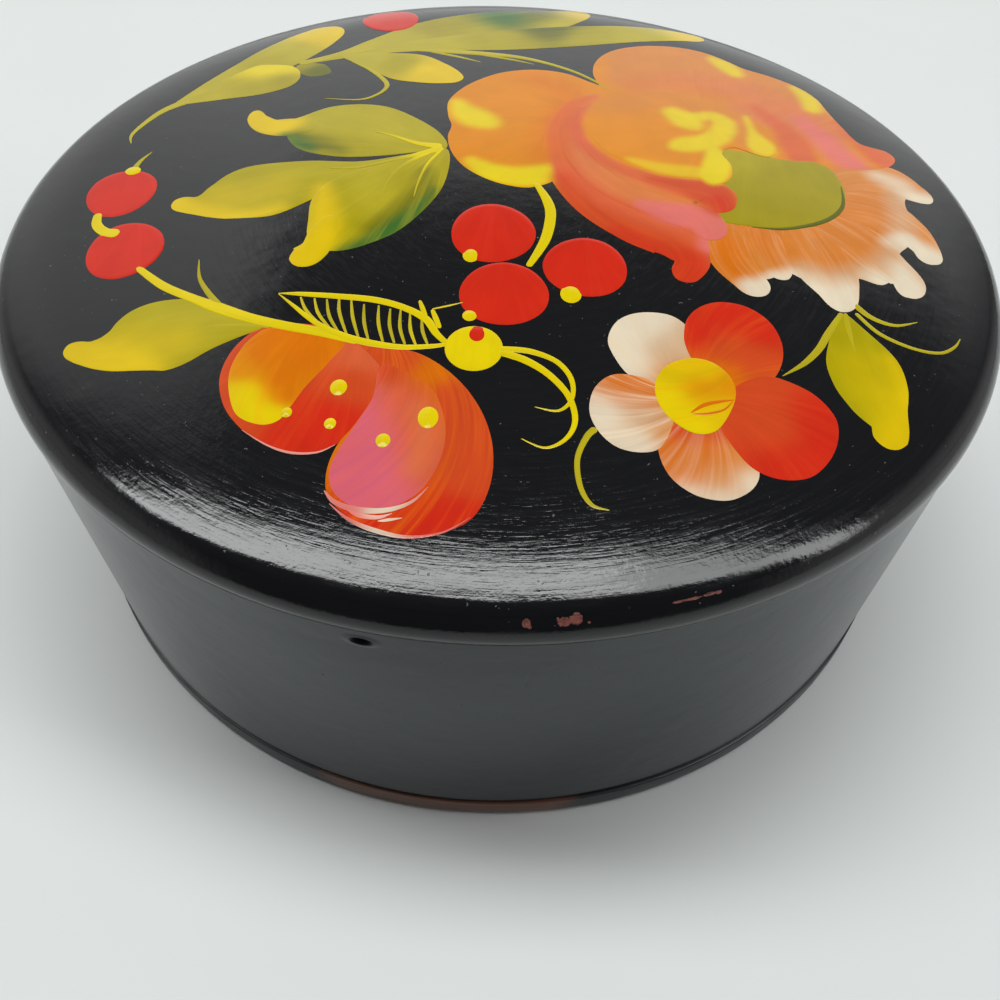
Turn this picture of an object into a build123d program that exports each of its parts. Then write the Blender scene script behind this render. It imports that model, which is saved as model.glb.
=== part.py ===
from build123d import *
import math
import os

# Round lacquered box of wound and pressed papier-mache, with a loose domed lid.
# Millimetres. The origin is the centre of the base's underside, and +Z is up.
# Every piece is a disc or a ring turned about the Z axis. Its section is drawn on the
# +X side of the XZ plane, with X as the radius and Y as the height, and then revolved.

# Overall sizes
lid_diameter = 150.0        # across the lid's widest line
seam_height = 51.2          # from the table to the line where the lid meets the wall
lid_overhang = 0.3          # how far that widest line stands out past the wall's mouth
wall_flare = 1.8            # how far the wall's mouth stands out past its foot

# Clearances
lid_clearance = 0.3         # round the lid's ring, inside the mouth
glue_gap = 0.05             # round a piece that is glued into another

# Base disc
base_thickness = 4.0        # height of the edge that shows under the wall
base_proud = 0.3            # how far that edge stands out past the wall's foot
base_plug_height = 2.0      # raised middle that centres the wall on the disc
base_lower_chamfer = 0.9
base_upper_chamfer = 0.4
base_plug_chamfer = 0.6

# Wall
wall_thickness = 4.2
foot_chamfer = 0.4
mouth_outer_chamfer = 0.35
mouth_inner_chamfer = 0.7
mouth_seat_depth = 7.5      # depth of the straight seat turned in the mouth for the lid
mouth_seat_step = 0.5       # how far the foot of that seat stands back from the bore below

# Lid's outside, from its lower edge to the crown. The arcs meet without a corner.
# Each tilt is the angle of the surface's normal above the horizontal, in degrees, where
# one arc ends and the next begins.
lip_chamfer = 0.6           # lower edge, broken where it meets the wall
lip_tilt = -10.0
side_radius = 2.6           # the narrow upright side
side_tilt = 29.0
shoulder_radius = 4.7
shoulder_tilt = 75.0
brow_radius = 44.0          # the softer bend at the crown's edge
brow_tilt = 86.0

# Lid's pieces
rim_web = 1.8               # thickness of the rim's flange, under the panel's edge
rim_lip_width = 1.5         # the rim's upstand outside the panel, at the widest line
panel_thickness = 2.8       # at the middle of the crown
panel_band_width = 8.0      # flat band under the panel's edge, where it is glued down
ring_thickness = 2.4        # the ring that drops into the mouth
ring_drop = 5.4             # how far it reaches below the seam
ring_lead_chamfer = 0.9
ring_inner_chamfer = 0.5

# Sizes that follow from those above
lid_radius = lid_diameter / 2
mouth_radius = lid_radius - lid_overhang
foot_radius = mouth_radius - wall_flare
foot_bore_radius = foot_radius - wall_thickness
seat_foot_height = seam_height - mouth_seat_depth
wall_height = seam_height - base_thickness
seat_bore_radius = (
    foot_bore_radius
    + wall_flare * (seat_foot_height - base_thickness) / wall_height
    + mouth_seat_step
)
ring_radius = seat_bore_radius - lid_clearance
ledge_height = seam_height + rim_web
rebate_radius = lid_radius - rim_lip_width
panel_radius = rebate_radius - glue_gap
hollow_radius = panel_radius - panel_band_width


def turned(section):
    """Revolve a section drawn with X as the radius and Y as the height."""
    return revolve(Plane.XZ * section, Axis.Z)


def band(inner, outer, bottom, top):
    """Section of a plain ring, or of a disc where the inner radius is zero."""
    return Pos((inner + outer) / 2, (bottom + top) / 2) * Rectangle(outer - inner, top - bottom)


def ball(radius, top):
    """A ball centred on the axis whose highest point is at the given height.

    It lies with its own poles level, so no pole falls in the shallow dome cut from it.
    """
    return Pos(0, 0, top - radius) * Rot(90, 0, 0) * Sphere(radius)


def chamfered(section, corners):
    """The section with the corner nearest to each (radius, height) cut off by its length."""
    for radius, height, length in corners:
        corner = section.vertices().sort_by_distance(Vector(radius, height))[0]
        section = chamfer(corner, length)
    return section


def toward(tilt, length):
    """A step of the given length along a normal of the given tilt."""
    return Vector(length * math.cos(math.radians(tilt)), length * math.sin(math.radians(tilt)))


def edge_arcs():
    """The arcs of the lid's outer edge, from the narrow side up to the crown.

    Each centre lies on the normal that its arc shares with the arc before it, so the
    surface runs smoothly from one to the next.
    """
    arc_start_height = seam_height + lip_chamfer
    centre = Vector(lid_radius - side_radius, arc_start_height - toward(lip_tilt, side_radius).Y)
    arcs = [CenterArc(centre, side_radius, lip_tilt, side_tilt - lip_tilt)]
    radius = side_radius
    tilt = side_tilt
    for next_radius, next_tilt in ((shoulder_radius, shoulder_tilt), (brow_radius, brow_tilt)):
        centre = centre + toward(tilt, radius - next_radius)
        arcs.append(CenterArc(centre, next_radius, tilt, next_tilt - tilt))
        radius = next_radius
        tilt = next_tilt
    return arcs


arcs = edge_arcs()
side_start = arcs[0] @ 0
crown_edge = arcs[-1] @ 1
crown_radius = crown_edge.X / math.cos(math.radians(brow_tilt))
crown_height = crown_edge.Y + crown_radius * (1 - math.sin(math.radians(brow_tilt)))


def lid_edge():
    """Section of the lid outside the crown, as if the lid were one solid disc."""
    lip = Polyline(
        (crown_edge.X, crown_edge.Y),
        (crown_edge.X, seam_height),
        (side_start.X - lip_chamfer, seam_height),
        (side_start.X, side_start.Y),
    )
    return make_face(arcs + [lip])


def base_disc():
    """Disc with a broken edge and a raised middle that fits the wall's bore."""
    plug_radius = foot_bore_radius - glue_gap
    edge_radius = foot_radius + base_proud
    plug_top = base_thickness + base_plug_height
    section = band(0, edge_radius, 0, base_thickness) + band(0, plug_radius, 0, plug_top)
    corners = [
        (edge_radius, 0, base_lower_chamfer),
        (edge_radius, base_thickness, base_upper_chamfer),
        (plug_radius, plug_top, base_plug_chamfer),
    ]
    return turned(chamfered(section, corners))


def body_wall():
    """Wound wall that flares a little upwards, with a straight seat turned in its mouth."""
    seat_foot_radius = seat_bore_radius - mouth_seat_step
    outline = Polyline(
        (foot_bore_radius, base_thickness),
        (foot_radius, base_thickness),
        (mouth_radius, seam_height),
        (seat_bore_radius, seam_height),
        (seat_bore_radius, seat_foot_height),
        (seat_foot_radius, seat_foot_height),
        close=True,
    )
    corners = [
        (foot_radius, base_thickness, foot_chamfer),
        (mouth_radius, seam_height, mouth_outer_chamfer),
        (seat_bore_radius, seam_height, mouth_inner_chamfer),
    ]
    return turned(chamfered(make_face(outline), corners))


def lid_rim():
    """Ring that carries the lid's upright side, with a rebate that takes the panel's edge."""
    bore_radius = ring_radius + glue_gap
    section = lid_edge() & band(bore_radius, lid_radius, seam_height, crown_height)
    section = section - band(0, rebate_radius, ledge_height, crown_height)
    return turned(section)


def lid_panel():
    """Domed panel of the lid, dished underneath, with a flat band that is glued to the rim."""
    edge = turned(lid_edge() & band(crown_edge.X, panel_radius, ledge_height, crown_height))
    core = turned(band(0, crown_edge.X, ledge_height, crown_height + panel_thickness))
    dome = edge + (core & ball(crown_radius, crown_height))
    dish_height = crown_height - panel_thickness
    dish_rise = dish_height - ledge_height
    dish_radius = (hollow_radius**2 + dish_rise**2) / (2 * dish_rise)
    return dome - ball(dish_radius, dish_height)


def lid_ring():
    """Ring glued under the panel, inside the rim, that drops into the box's mouth."""
    bore_radius = ring_radius - ring_thickness
    bottom = seam_height - ring_drop
    section = band(bore_radius, ring_radius, bottom, ledge_height)
    corners = [
        (ring_radius, bottom, ring_lead_chamfer),
        (bore_radius, bottom, ring_inner_chamfer),
    ]
    return turned(chamfered(section, corners))


pieces = {
    "base_disc": base_disc(),
    "body_wall": body_wall(),
    "lid_rim": lid_rim(),
    "lid_panel": lid_panel(),
    "lid_ring": lid_ring(),
}

os.makedirs("parts", exist_ok=True)
for name, piece in pieces.items():
    export_step(piece, f"parts/{name}.step")
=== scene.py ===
import math

import bpy
import numpy as np
from bpy.props import FloatProperty, FloatVectorProperty, PointerProperty
from mathutils import Matrix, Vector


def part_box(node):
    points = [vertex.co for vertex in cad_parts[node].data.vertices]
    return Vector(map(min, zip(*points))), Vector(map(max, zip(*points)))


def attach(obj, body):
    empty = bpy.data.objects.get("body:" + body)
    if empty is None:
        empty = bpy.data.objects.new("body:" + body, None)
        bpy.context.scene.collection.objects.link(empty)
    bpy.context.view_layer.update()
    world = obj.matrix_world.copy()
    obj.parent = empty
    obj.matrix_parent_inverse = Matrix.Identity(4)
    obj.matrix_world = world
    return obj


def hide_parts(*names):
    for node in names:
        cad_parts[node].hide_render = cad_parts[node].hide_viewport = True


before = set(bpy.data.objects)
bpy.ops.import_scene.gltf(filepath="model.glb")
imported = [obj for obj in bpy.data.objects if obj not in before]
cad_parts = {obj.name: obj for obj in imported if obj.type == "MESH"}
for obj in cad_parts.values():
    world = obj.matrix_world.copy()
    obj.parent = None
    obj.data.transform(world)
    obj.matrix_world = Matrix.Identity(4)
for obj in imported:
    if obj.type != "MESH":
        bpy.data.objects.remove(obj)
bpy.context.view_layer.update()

bl_info = {
    "name": "Painted lacquer box",
    "version": (1, 0, 0),
    "blender": (4, 5, 0),
    "location": "3D View > Sidebar > Lacquer Box",
    "description": "Lacquered skins, painted flowers and a plain stage for a round box with a lid",
    "category": "Object",
}

# Shapes are worked out in millimetres and written to the meshes in metres. A section is
# given as (radius, height) about the box's upright axis, a stroke as (x, y) on the lid.
MM = 0.001

# The lid's outer arcs: radius of each arc and the tilt of its normal where it ends
LIP_CHAMFER = 0.6
LIP_TILT = -10.0
EDGE_ARCS = ((2.6, 29.0), (4.7, 75.0), (44.0, 86.0))
ARC_POINTS = (26, 40, 30)
CROWN_POINTS = 64

# Sizes that the skins share with the solids under them
GLUE_GAP = 0.05         # round a piece that is glued into another
JOINT_GAP = 0.02        # hairline where the panel's edge meets the rim
BASE_PROUD = 0.3        # how far the base's edge stands out past the wall's foot
WALL_FLARE = 1.8        # how far the wall's mouth stands out past its foot
WALL_THICKNESS = 4.2
SEAT_DEPTH = 7.5        # straight seat turned in the mouth for the lid's ring
SEAT_STEP = 0.5         # how far that seat stands back from the bore below
RING_THICKNESS = 2.4
PANEL_THICKNESS = 2.8   # at the middle of the crown
PANEL_BAND = 8.0        # flat band under the panel's edge, where it is glued down

# Lacquer and paint on the lid
PAINT_ROOM = 0.2        # how far the lacquer lies under the solid dome, to leave room for paint
PAINT_ROOM_START = 72.0  # radius from which that room grows inwards
PAINT_ROOM_FULL = 28.0  # radius inside which it is whole
WAVE_FADE = 14.0        # width over which the lid's slow swells grow from its edge
BURY = 0.03             # how far the underside of a stroke lies below the lacquer
UNDERSIDE_SAG = 0.6     # how much deeper the middle of a filled shape's underside lies
LEVEL_STEP = 0.012      # height that each layer of paint adds
COAT = 0.014            # thickness of one stroke of paint
HAIR = 0.02             # least half width of a brush's path
TIP = 0.015             # half width that a stroke keeps at its very ends
STROKE_SHIFT = 7.3      # how far apart two strokes lie in the pattern of bristles
SHARP = math.radians(40)  # edges that turn by more than this stay crisp


def box_mm(node):
    """Lowest and highest corner of a CAD node, in millimetres."""
    low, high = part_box(node)
    return np.array(low) / MM, np.array(high) / MM


RIM_LOW, RIM_HIGH = box_mm("lid_rim")
PANEL_LOW, PANEL_HIGH = box_mm("lid_panel")
RING_LOW, RING_HIGH = box_mm("lid_ring")
WALL_LOW, WALL_HIGH = box_mm("body_wall")
_, BASE_HIGH = box_mm("base_disc")
LID_RADIUS = RIM_HIGH[0]
SEAM = RIM_LOW[2]


# ---------------------------------------------------------------- settings

def colour_setting(name, description, colour):
    """A colour that the user can change, stored as linear light."""
    return FloatVectorProperty(
        name=name, description=description, subtype="COLOR", size=3, min=0, max=1,
        default=colour,
    )


def srgb(red, green, blue):
    """Linear light for a colour written as 0 to 255: the sRGB curve undone."""
    value = np.array([red, green, blue]) / 255
    linear = np.where(value > 0.04045, ((value + 0.055) / 1.055) ** 2.4, value / 12.92)
    return tuple(float(x) for x in linear)


def varnished(red, green, blue):
    """Linear light of a paint that shows as the given colour under its varnish.

    The varnish adds a little gloss and the light is a little over one, so the paint
    itself is (shown - 0.008) / 1.1.
    """
    return tuple(max(0.001, (shown - 0.008) / 1.1) for shown in srgb(red, green, blue))


class LacquerSettings(bpy.types.PropertyGroup):
    """Colours and gloss of the lacquer coats."""

    black: colour_setting("Black", "Lacquer outside the box", (0.0035, 0.0037, 0.0045))
    red: colour_setting("Inner red", "Lacquer inside the box and under the lid", srgb(134, 22, 14))
    ground: colour_setting("Ground", "Red-brown ground laid bare by chips", srgb(132, 70, 60))
    worn: colour_setting("Worn foot", "Brown where the base's edge is rubbed", srgb(98, 60, 42))
    wall: colour_setting("Wall black", "Duller lacquer on the wall", (0.005, 0.0095, 0.0135))
    gloss: FloatProperty(
        name="Roughness", description="Roughness of the polished lacquer", default=0.09,
        min=0, max=1, subtype="FACTOR",
    )
    marks: FloatProperty(
        name="Polish marks", description="Depth of the marks round the lid", default=0.00005,
        min=0, precision=6, unit="LENGTH",
    )


class PaintSettings(bpy.types.PropertyGroup):
    """The palette that the flowers are painted from."""

    red: colour_setting("Cadmium red", "Berries and red petals", varnished(209, 48, 33))
    scarlet: colour_setting("Scarlet", "Red petals near their root", varnished(207, 76, 40))
    coral: colour_setting("Coral", "Petals round the flower's heart", varnished(216, 98, 60))
    orange: colour_setting("Orange", "Orange petals", varnished(217, 113, 16))
    amber: colour_setting("Amber", "Light orange petals", varnished(222, 137, 20))
    peach: colour_setting("Peach", "Pale orange petals", varnished(214, 134, 60))
    salmon: colour_setting("Salmon", "Petals behind the flower's heart", varnished(217, 122, 70))
    pink: colour_setting("Pink", "Pink petals and wing", varnished(217, 100, 116))
    blush: colour_setting("Blush", "Palest pink petals", varnished(224, 114, 108))
    cream: colour_setting("Cream", "Petal tips", varnished(230, 214, 188))
    shell: colour_setting("Shell", "Shaded cream", varnished(210, 174, 138))
    yellow: colour_setting("Yellow", "Bright tips, head and dots", varnished(228, 203, 6))
    gold: colour_setting("Gold", "Leaf tips", varnished(224, 190, 6))
    straw: colour_setting("Straw", "Leaves where they are lightest", varnished(184, 168, 38))
    leaf: colour_setting("Leaf", "Body of the leaves", varnished(172, 157, 8))
    olive: colour_setting("Olive", "Oval behind the fringe", varnished(161, 146, 10))
    moss: colour_setting("Moss", "Rim of the oval and shaded leaves", varnished(96, 100, 24))
    green: colour_setting("Green", "Shaded side of the leaves", varnished(48, 104, 48))


class StageSettings(bpy.types.PropertyGroup):
    """Camera, lamps and floor."""

    floor: colour_setting("Floor", "Pale table", srgb(219, 221, 220))
    lamp: FloatProperty(
        name="Lamp brightness", description="Brightness of the strip lamps, where 1 shows as white",
        default=9.2, min=0,
    )
    lens: FloatProperty(
        name="Lens", description="Focal length over a 36 mm sensor", default=34.476, min=1, max=200,
        unit="CAMERA",
    )


def lacquer():
    """The lacquer's settings as the user has them now."""
    return bpy.context.scene.lacquer_box_lacquer


def palette(name):
    """Linear light of one of the palette's colours."""
    return np.array(getattr(bpy.context.scene.lacquer_box_paint, name))


# ---------------------------------------------------------------- meshes

def make_object(name, points, faces, body, material, replaces=()):
    """A finished piece from points in millimetres and faces, riding on a body of the frame."""
    mesh = bpy.data.meshes.new(name)
    mesh.from_pydata((np.asarray(points) * MM).tolist(), [], faces)
    mesh.update()
    mesh.shade_smooth()
    mesh.set_sharp_from_angle(angle=SHARP)
    piece = bpy.data.objects.new(name, mesh)
    bpy.context.scene.collection.objects.link(piece)
    mesh.materials.append(material)
    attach(piece, body)
    if replaces:
        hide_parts(*replaces)
    return piece


def store(piece, name, kind, values):
    """Put one value per vertex into a named attribute."""
    field = {"FLOAT": "value", "FLOAT_VECTOR": "vector", "FLOAT_COLOR": "color"}[kind]
    attribute = piece.data.attributes.new(name, kind, "POINT")
    attribute.data.foreach_set(field, np.asarray(values, dtype=np.float32).ravel())


def direction(tilt):
    """Unit step (cos, sin) at a tilt in degrees."""
    return np.array([math.cos(math.radians(tilt)), math.sin(math.radians(tilt))])


def arc(centre, radius, start, end, count):
    """Points at even angles on an arc, its end left out: centre + radius * (cos, sin)."""
    tilt = np.radians(np.linspace(start, end, count, endpoint=False))
    return np.c_[centre[0] + radius * np.cos(tilt), centre[1] + radius * np.sin(tilt)]


def lid_section():
    """The lid's outer line from its lower edge to the axis.

    Two points of the broken lower edge, then arcs that share a normal where they meet,
    then the crown's arc, whose centre lies on the axis.
    """
    radius = EDGE_ARCS[0][0]
    tilt = LIP_TILT
    start = SEAM + LIP_CHAMFER
    centre = np.array([LID_RADIUS - radius, start - radius * math.sin(math.radians(tilt))])
    rows = []
    for (next_radius, end), count in zip(EDGE_ARCS, ARC_POINTS):
        centre = centre + direction(tilt) * (radius - next_radius)
        radius = next_radius
        rows.append(arc(centre, radius, tilt, end, count))
        tilt = end
    normal = direction(tilt)
    edge = centre + radius * normal
    crown = edge[0] / normal[0]
    middle = edge - crown * normal
    rows.append(arc(middle, crown, tilt, 90, CROWN_POINTS))
    rows.append(np.array([[0, middle[1] + crown]]))
    lip = rows[0][0] - [[0.3, LIP_CHAMFER - 0.02], [0.12, LIP_CHAMFER - 0.2]]
    return np.vstack([lip] + rows)


SECTION = lid_section()
UPPER = SECTION[np.argmax(SECTION[:, 0]):][::-1]


def smooth_step(value):
    """0 to 1 with level ends: 3t^2 - 2t^3 of the value held between 0 and 1."""
    t = np.clip(value, 0, 1)
    return t * t * (3 - 2 * t)


def paint_room(radius):
    """How far the lacquer lies under the solid dome at a radius."""
    inwards = (PAINT_ROOM_START - radius) / (PAINT_ROOM_START - PAINT_ROOM_FULL)
    return PAINT_ROOM * smooth_step(inwards)


def dome_waves(x, y):
    """Slow swells of a hand-finished panel, a few hundredths of a millimetre high.

    A sine across times a sine along, plus a slanting sine, sunk so that none stands out.
    """
    crossed = 0.014 * np.sin(x / 17 + 1.3) * np.sin(y / 21 + 0.4)
    return crossed + 0.008 * np.sin((x + 0.7 * y) / 9.5) - 0.022


def lacquer_height(x, y):
    """Height of the lid's lacquer over a point: the outer line less the room for paint."""
    radius = np.hypot(x, y)
    height = np.interp(radius, UPPER[:, 0], UPPER[:, 1])
    fade = smooth_step((PAINT_ROOM_START - radius) / WAVE_FADE)
    return height - paint_room(radius) + fade * dome_waves(x, y)


def columns(count, fine_centre=None, fine_width=0.0, fine_count=0):
    """Azimuths in degrees round the box, closer together across one stretch."""
    if not fine_count:
        return np.linspace(-180, 180, count, endpoint=False)
    low, high = fine_centre - fine_width / 2, fine_centre + fine_width / 2
    return np.r_[
        np.linspace(low, high, fine_count, endpoint=False),
        np.linspace(high, low + 360, count, endpoint=False),
    ]


def turned_grid(section, azimuths):
    """Points of a section carried round the axis: radius * (cos, sin), height."""
    angle = np.radians(azimuths)[None, :]
    radius = section[:, 0][:, None]
    height = np.broadcast_to(section[:, 1][:, None], (len(section), len(azimuths)))
    return np.stack([radius * np.cos(angle), radius * np.sin(angle), height], -1)


def grid_faces(rows, count, closed_rows=False):
    """Quads of a grid that is closed along its columns, and along its rows if asked."""
    last = rows if closed_rows else rows - 1
    i, j = np.meshgrid(np.arange(last), np.arange(count), indexing="ij")
    a = i * count + j
    b = i * count + (j + 1) % count
    c = ((i + 1) % rows) * count + (j + 1) % count
    d = ((i + 1) % rows) * count + j
    return np.stack([a, b, c, d], -1).reshape(-1, 4)


def ring_mesh(grid):
    """Points and faces of a closed ring: the grid's last row joins its first."""
    rows, count, _ = grid.shape
    return grid.reshape(-1, 3), grid_faces(rows, count, True).tolist()


def disc_mesh(grid, low_pole, high_pole):
    """Points and faces of a disc: a grid whose first and last rows close on two poles."""
    rows, count, _ = grid.shape
    points = np.vstack([grid.reshape(-1, 3), [low_pole], [high_pole]])
    j = np.arange(count)
    k = (j + 1) % count
    low = np.stack([np.full(count, rows * count), k, j], -1)
    top = (rows - 1) * count
    high = np.stack([np.full(count, rows * count + 1), top + j, top + k], -1)
    return points, grid_faces(rows, count).tolist() + low.tolist() + high.tolist()


def between(points, count):
    """A polyline resampled so that each of its runs gets the same number of points."""
    points = np.asarray(points, float)
    t = np.linspace(0, len(points) - 1, count * (len(points) - 1) + 1)
    k = np.arange(len(points))
    return np.c_[np.interp(t, k, points[:, 0]), np.interp(t, k, points[:, 1])]


def rounded(points, roundings, steps):
    """A polyline with each corner replaced by a curve: (1-t)^2 a + 2t(1-t) b + t^2 c.

    a and c lie on the corner's two runs, at its rounding from the corner b.
    """
    points = np.asarray(points, float)
    out = []
    for i, (corner, size) in enumerate(zip(points, roundings)):
        if not size:
            out.append(corner[None])
            continue
        back = points[i - 1] - corner
        ahead = points[(i + 1) % len(points)] - corner
        a = corner + back / np.hypot(*back) * size
        c = corner + ahead / np.hypot(*ahead) * size
        t = np.linspace(0, 1, steps)[:, None]
        out.append((1 - t) ** 2 * a + 2 * t * (1 - t) * corner + t**2 * c)
    return np.vstack(out)


# ---------------------------------------------------------------- materials

class Nodes:
    """Short hand for laying out nodes in a material's or the room's tree."""

    def __init__(self, tree):
        self.tree = tree

    def add(self, kind, **values):
        """A new node with its options set."""
        node = self.tree.nodes.new(kind)
        for key, value in values.items():
            setattr(node, key, value)
        return node

    def link(self, source, target):
        self.tree.links.new(source, target)

    def put(self, socket, value):
        """Feed a socket with another node's output or with a plain value."""
        if isinstance(value, bpy.types.NodeSocket):
            self.link(value, socket)
        else:
            socket.default_value = value

    def math(self, operation, a, b=0.0):
        node = self.add("ShaderNodeMath", operation=operation)
        self.put(node.inputs[0], a)
        self.put(node.inputs[1], b)
        return node.outputs[0]

    def plus(self, a, b):
        return self.math("ADD", a, b)

    def times(self, a, b):
        return self.math("MULTIPLY", a, b)

    def vector(self, operation, a, b=None, scale=None):
        node = self.add("ShaderNodeVectorMath", operation=operation)
        self.put(node.inputs[0], a)
        if b is not None:
            self.put(node.inputs[1], b)
        if scale is not None:
            self.put(node.inputs["Scale"], scale)
        return node.outputs["Value"] if operation == "LENGTH" else node.outputs[0]

    def combine(self, x, y, z):
        node = self.add("ShaderNodeCombineXYZ")
        for socket, value in zip(node.inputs, (x, y, z)):
            self.put(socket, value)
        return node.outputs[0]

    def split(self, vector):
        node = self.add("ShaderNodeSeparateXYZ")
        self.link(vector, node.inputs[0])
        return node.outputs

    def noise(self, vector, scale, detail, roughness=0.5):
        node = self.add("ShaderNodeTexNoise")
        self.put(node.inputs["Vector"], vector)
        node.inputs["Scale"].default_value = scale
        node.inputs["Detail"].default_value = detail
        node.inputs["Roughness"].default_value = roughness
        return node.outputs["Fac"]

    def span(self, value, low, high, out_low=0.0, out_high=1.0):
        """A value carried smoothly from one range to another, and held at the ends."""
        node = self.add("ShaderNodeMapRange", interpolation_type="SMOOTHSTEP")
        self.put(node.inputs["Value"], value)
        for key, number in (
            ("From Min", low), ("From Max", high), ("To Min", out_low), ("To Max", out_high)
        ):
            node.inputs[key].default_value = number
        return node.outputs["Result"]

    def mix(self, factor, a, b, blend="MIX"):
        node = self.add("ShaderNodeMix", data_type="RGBA", blend_type=blend)
        self.put(node.inputs["Factor"], factor)
        for key, value in ((6, a), (7, b)):
            if not isinstance(value, bpy.types.NodeSocket):
                value = (*value, 1)
            self.put(node.inputs[key], value)
        return node.outputs[2]

    def mottle(self, pattern, colour, dark, light):
        """A colour made darker or lighter by the two amounts, as a pattern goes from 0 to 1."""
        return self.mix(pattern, shaded(colour, dark), shaded(colour, light))

    def attribute(self, name):
        return self.add("ShaderNodeAttribute", attribute_name=name)

    def bump(self, height, distance, normal=None):
        """Surface tilted as if the height, 0 to 1, stood for a distance in millimetres."""
        node = self.add("ShaderNodeBump")
        node.inputs["Distance"].default_value = distance * MM
        self.link(height, node.inputs["Height"])
        if normal is not None:
            self.link(normal, node.inputs["Normal"])
        return node.outputs[0]

    def place(self):
        """Object coordinates in millimetres, their height, radius and direction from the axis."""
        coordinates = self.add("ShaderNodeTexCoord")
        where = self.vector("SCALE", coordinates.outputs["Object"], scale=1 / MM)
        x, y, z = self.split(where)
        flat = self.combine(x, y, 0.0)
        return where, z, self.vector("LENGTH", flat), self.vector("NORMALIZE", flat)

    def round_marks(self, place, across, along, rise, detail=2.0, roughness=0.55):
        """Noise drawn out round the axis, with no seam.

        The direction from the axis stands in for the angle, so it comes back to itself.
        Across and rise are the marks per millimetre outwards and upwards.
        """
        _, height, radius, direction = place
        lift = self.plus(self.times(radius, across), self.times(height, rise))
        turned = self.vector("SCALE", direction, scale=along)
        drawn_out = self.vector("ADD", turned, self.combine(0.0, 0.0, lift))
        return self.noise(drawn_out, 1.0, detail, roughness)


def new_material(name):
    """A material, its nodes and its main shader."""
    material = bpy.data.materials.new(name)
    material.use_nodes = True
    return material, Nodes(material.node_tree), material.node_tree.nodes["Principled BSDF"]


def shaded(colour, amount):
    """A colour made darker or lighter."""
    return tuple(min(1.0, c * amount) for c in colour)


def black_lacquer(name, black, gloss, marks, grain, swell, marks_fade=None, shine=0.5):
    """Polished black lacquer, red inside.

    Marks are the polishing streaks round the axis, grain is the fine unevenness of the
    coat and swell a slow one, each in millimetres of height. Marks and grain are strongest
    towards the front, and marks_fade gives two radii and the marks' strength at each. The
    attribute "inner" turns the coat red, "bare" lays the red-brown ground open and "pit"
    makes the pit rougher and paints shade into it as a darker black.
    """
    settings = lacquer()
    material, n, shader = new_material(name)
    place = n.place()
    where, _, radius, _ = place
    fine = n.round_marks(place, 2.4, 9.0, 2.0, 3.0, 0.6)
    broad = n.round_marks(place, 0.8, 4.0, 0.7)
    patches = n.noise(where, 0.06, 3.0, 0.6)
    pores = n.noise(where, 1.6, 3.0, 0.6)
    dust = n.span(n.noise(where, 1.7, 2.0, 0.5), 0.73, 0.78)

    colour = n.mottle(patches, black, 0.8, 1.25)
    colour = n.mix(n.times(dust, 0.3), colour, srgb(128, 126, 120))
    dulled = 0.8 if marks else 0.05
    rough = n.span(fine, 0.35, 0.65, gloss * (1 - 0.5 * dulled), gloss * (1 + dulled))
    rough = n.plus(rough, n.times(dust, 0.3))

    inner = n.attribute("inner").outputs["Fac"]
    colour = n.mix(inner, colour, n.mottle(patches, settings.red, 0.7, 1.15))
    rough = n.plus(rough, n.times(inner, 0.16))

    grit = n.noise(where, 2.4, 3.0, 0.7)
    bare = n.attribute("bare").outputs["Fac"]
    open_ground = n.span(n.plus(bare, n.times(n.math("SUBTRACT", grit, 0.5), 1.3)), 0.45, 0.6)
    ground = n.mottle(n.span(grit, 0.35, 0.65), settings.ground, 0.35, 1.0)
    colour = n.mix(open_ground, colour, ground)
    pit = n.attribute("pit").outputs["Fac"]
    # painted shade: inside the pit the lacquer is drawn half as dark, standing in for the shade in
    # the hollow
    colour = n.mix(pit, colour, shaded(black, 0.5))
    rough = n.plus(rough, n.times(n.math("MAXIMUM", open_ground, pit), 0.5))

    n.link(colour, shader.inputs["Base Color"])
    n.link(rough, shader.inputs["Roughness"])
    shader.inputs["IOR"].default_value = 1.5
    shader.inputs["Specular IOR Level"].default_value = shine
    worked = n.span(n.split(where)[1], -60.0, -35.0, 1.0, 0.15)
    strength = n.times(worked, n.span(radius, *marks_fade)) if marks_fade else worked
    streaks = n.times(n.plus(fine, n.times(broad, 0.7)), strength)
    normal = n.bump(streaks, marks)
    normal = n.bump(n.times(pores, worked), grain, normal)
    normal = n.bump(n.noise(where, 0.22, 2.0), swell, normal)
    normal = n.bump(n.plus(dust, open_ground), 0.02, normal)
    n.link(normal, shader.inputs["Normal"])
    return material


def red_lacquer(name):
    """Satin red lacquer of the lid's ring: brushed round, a little rubbed where it slides."""
    settings = lacquer()
    material, n, shader = new_material(name)
    place = n.place()
    brush = n.round_marks(place, 1.5, 6.0, 1.6, 3.0, 0.6)
    patches = n.noise(place[0], 0.12, 3.0, 0.6)
    colour = n.mottle(patches, settings.red, 0.65, 1.2)
    rub = n.span(n.plus(brush, n.times(patches, 0.6)), 0.92, 1.1)
    colour = n.mix(n.times(rub, 0.45), colour, shaded(settings.ground, 0.6))
    n.link(colour, shader.inputs["Base Color"])
    n.link(n.span(brush, 0.3, 0.7, 0.24, 0.42), shader.inputs["Roughness"])
    n.link(n.bump(brush, 0.02), shader.inputs["Normal"])
    return material


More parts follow.
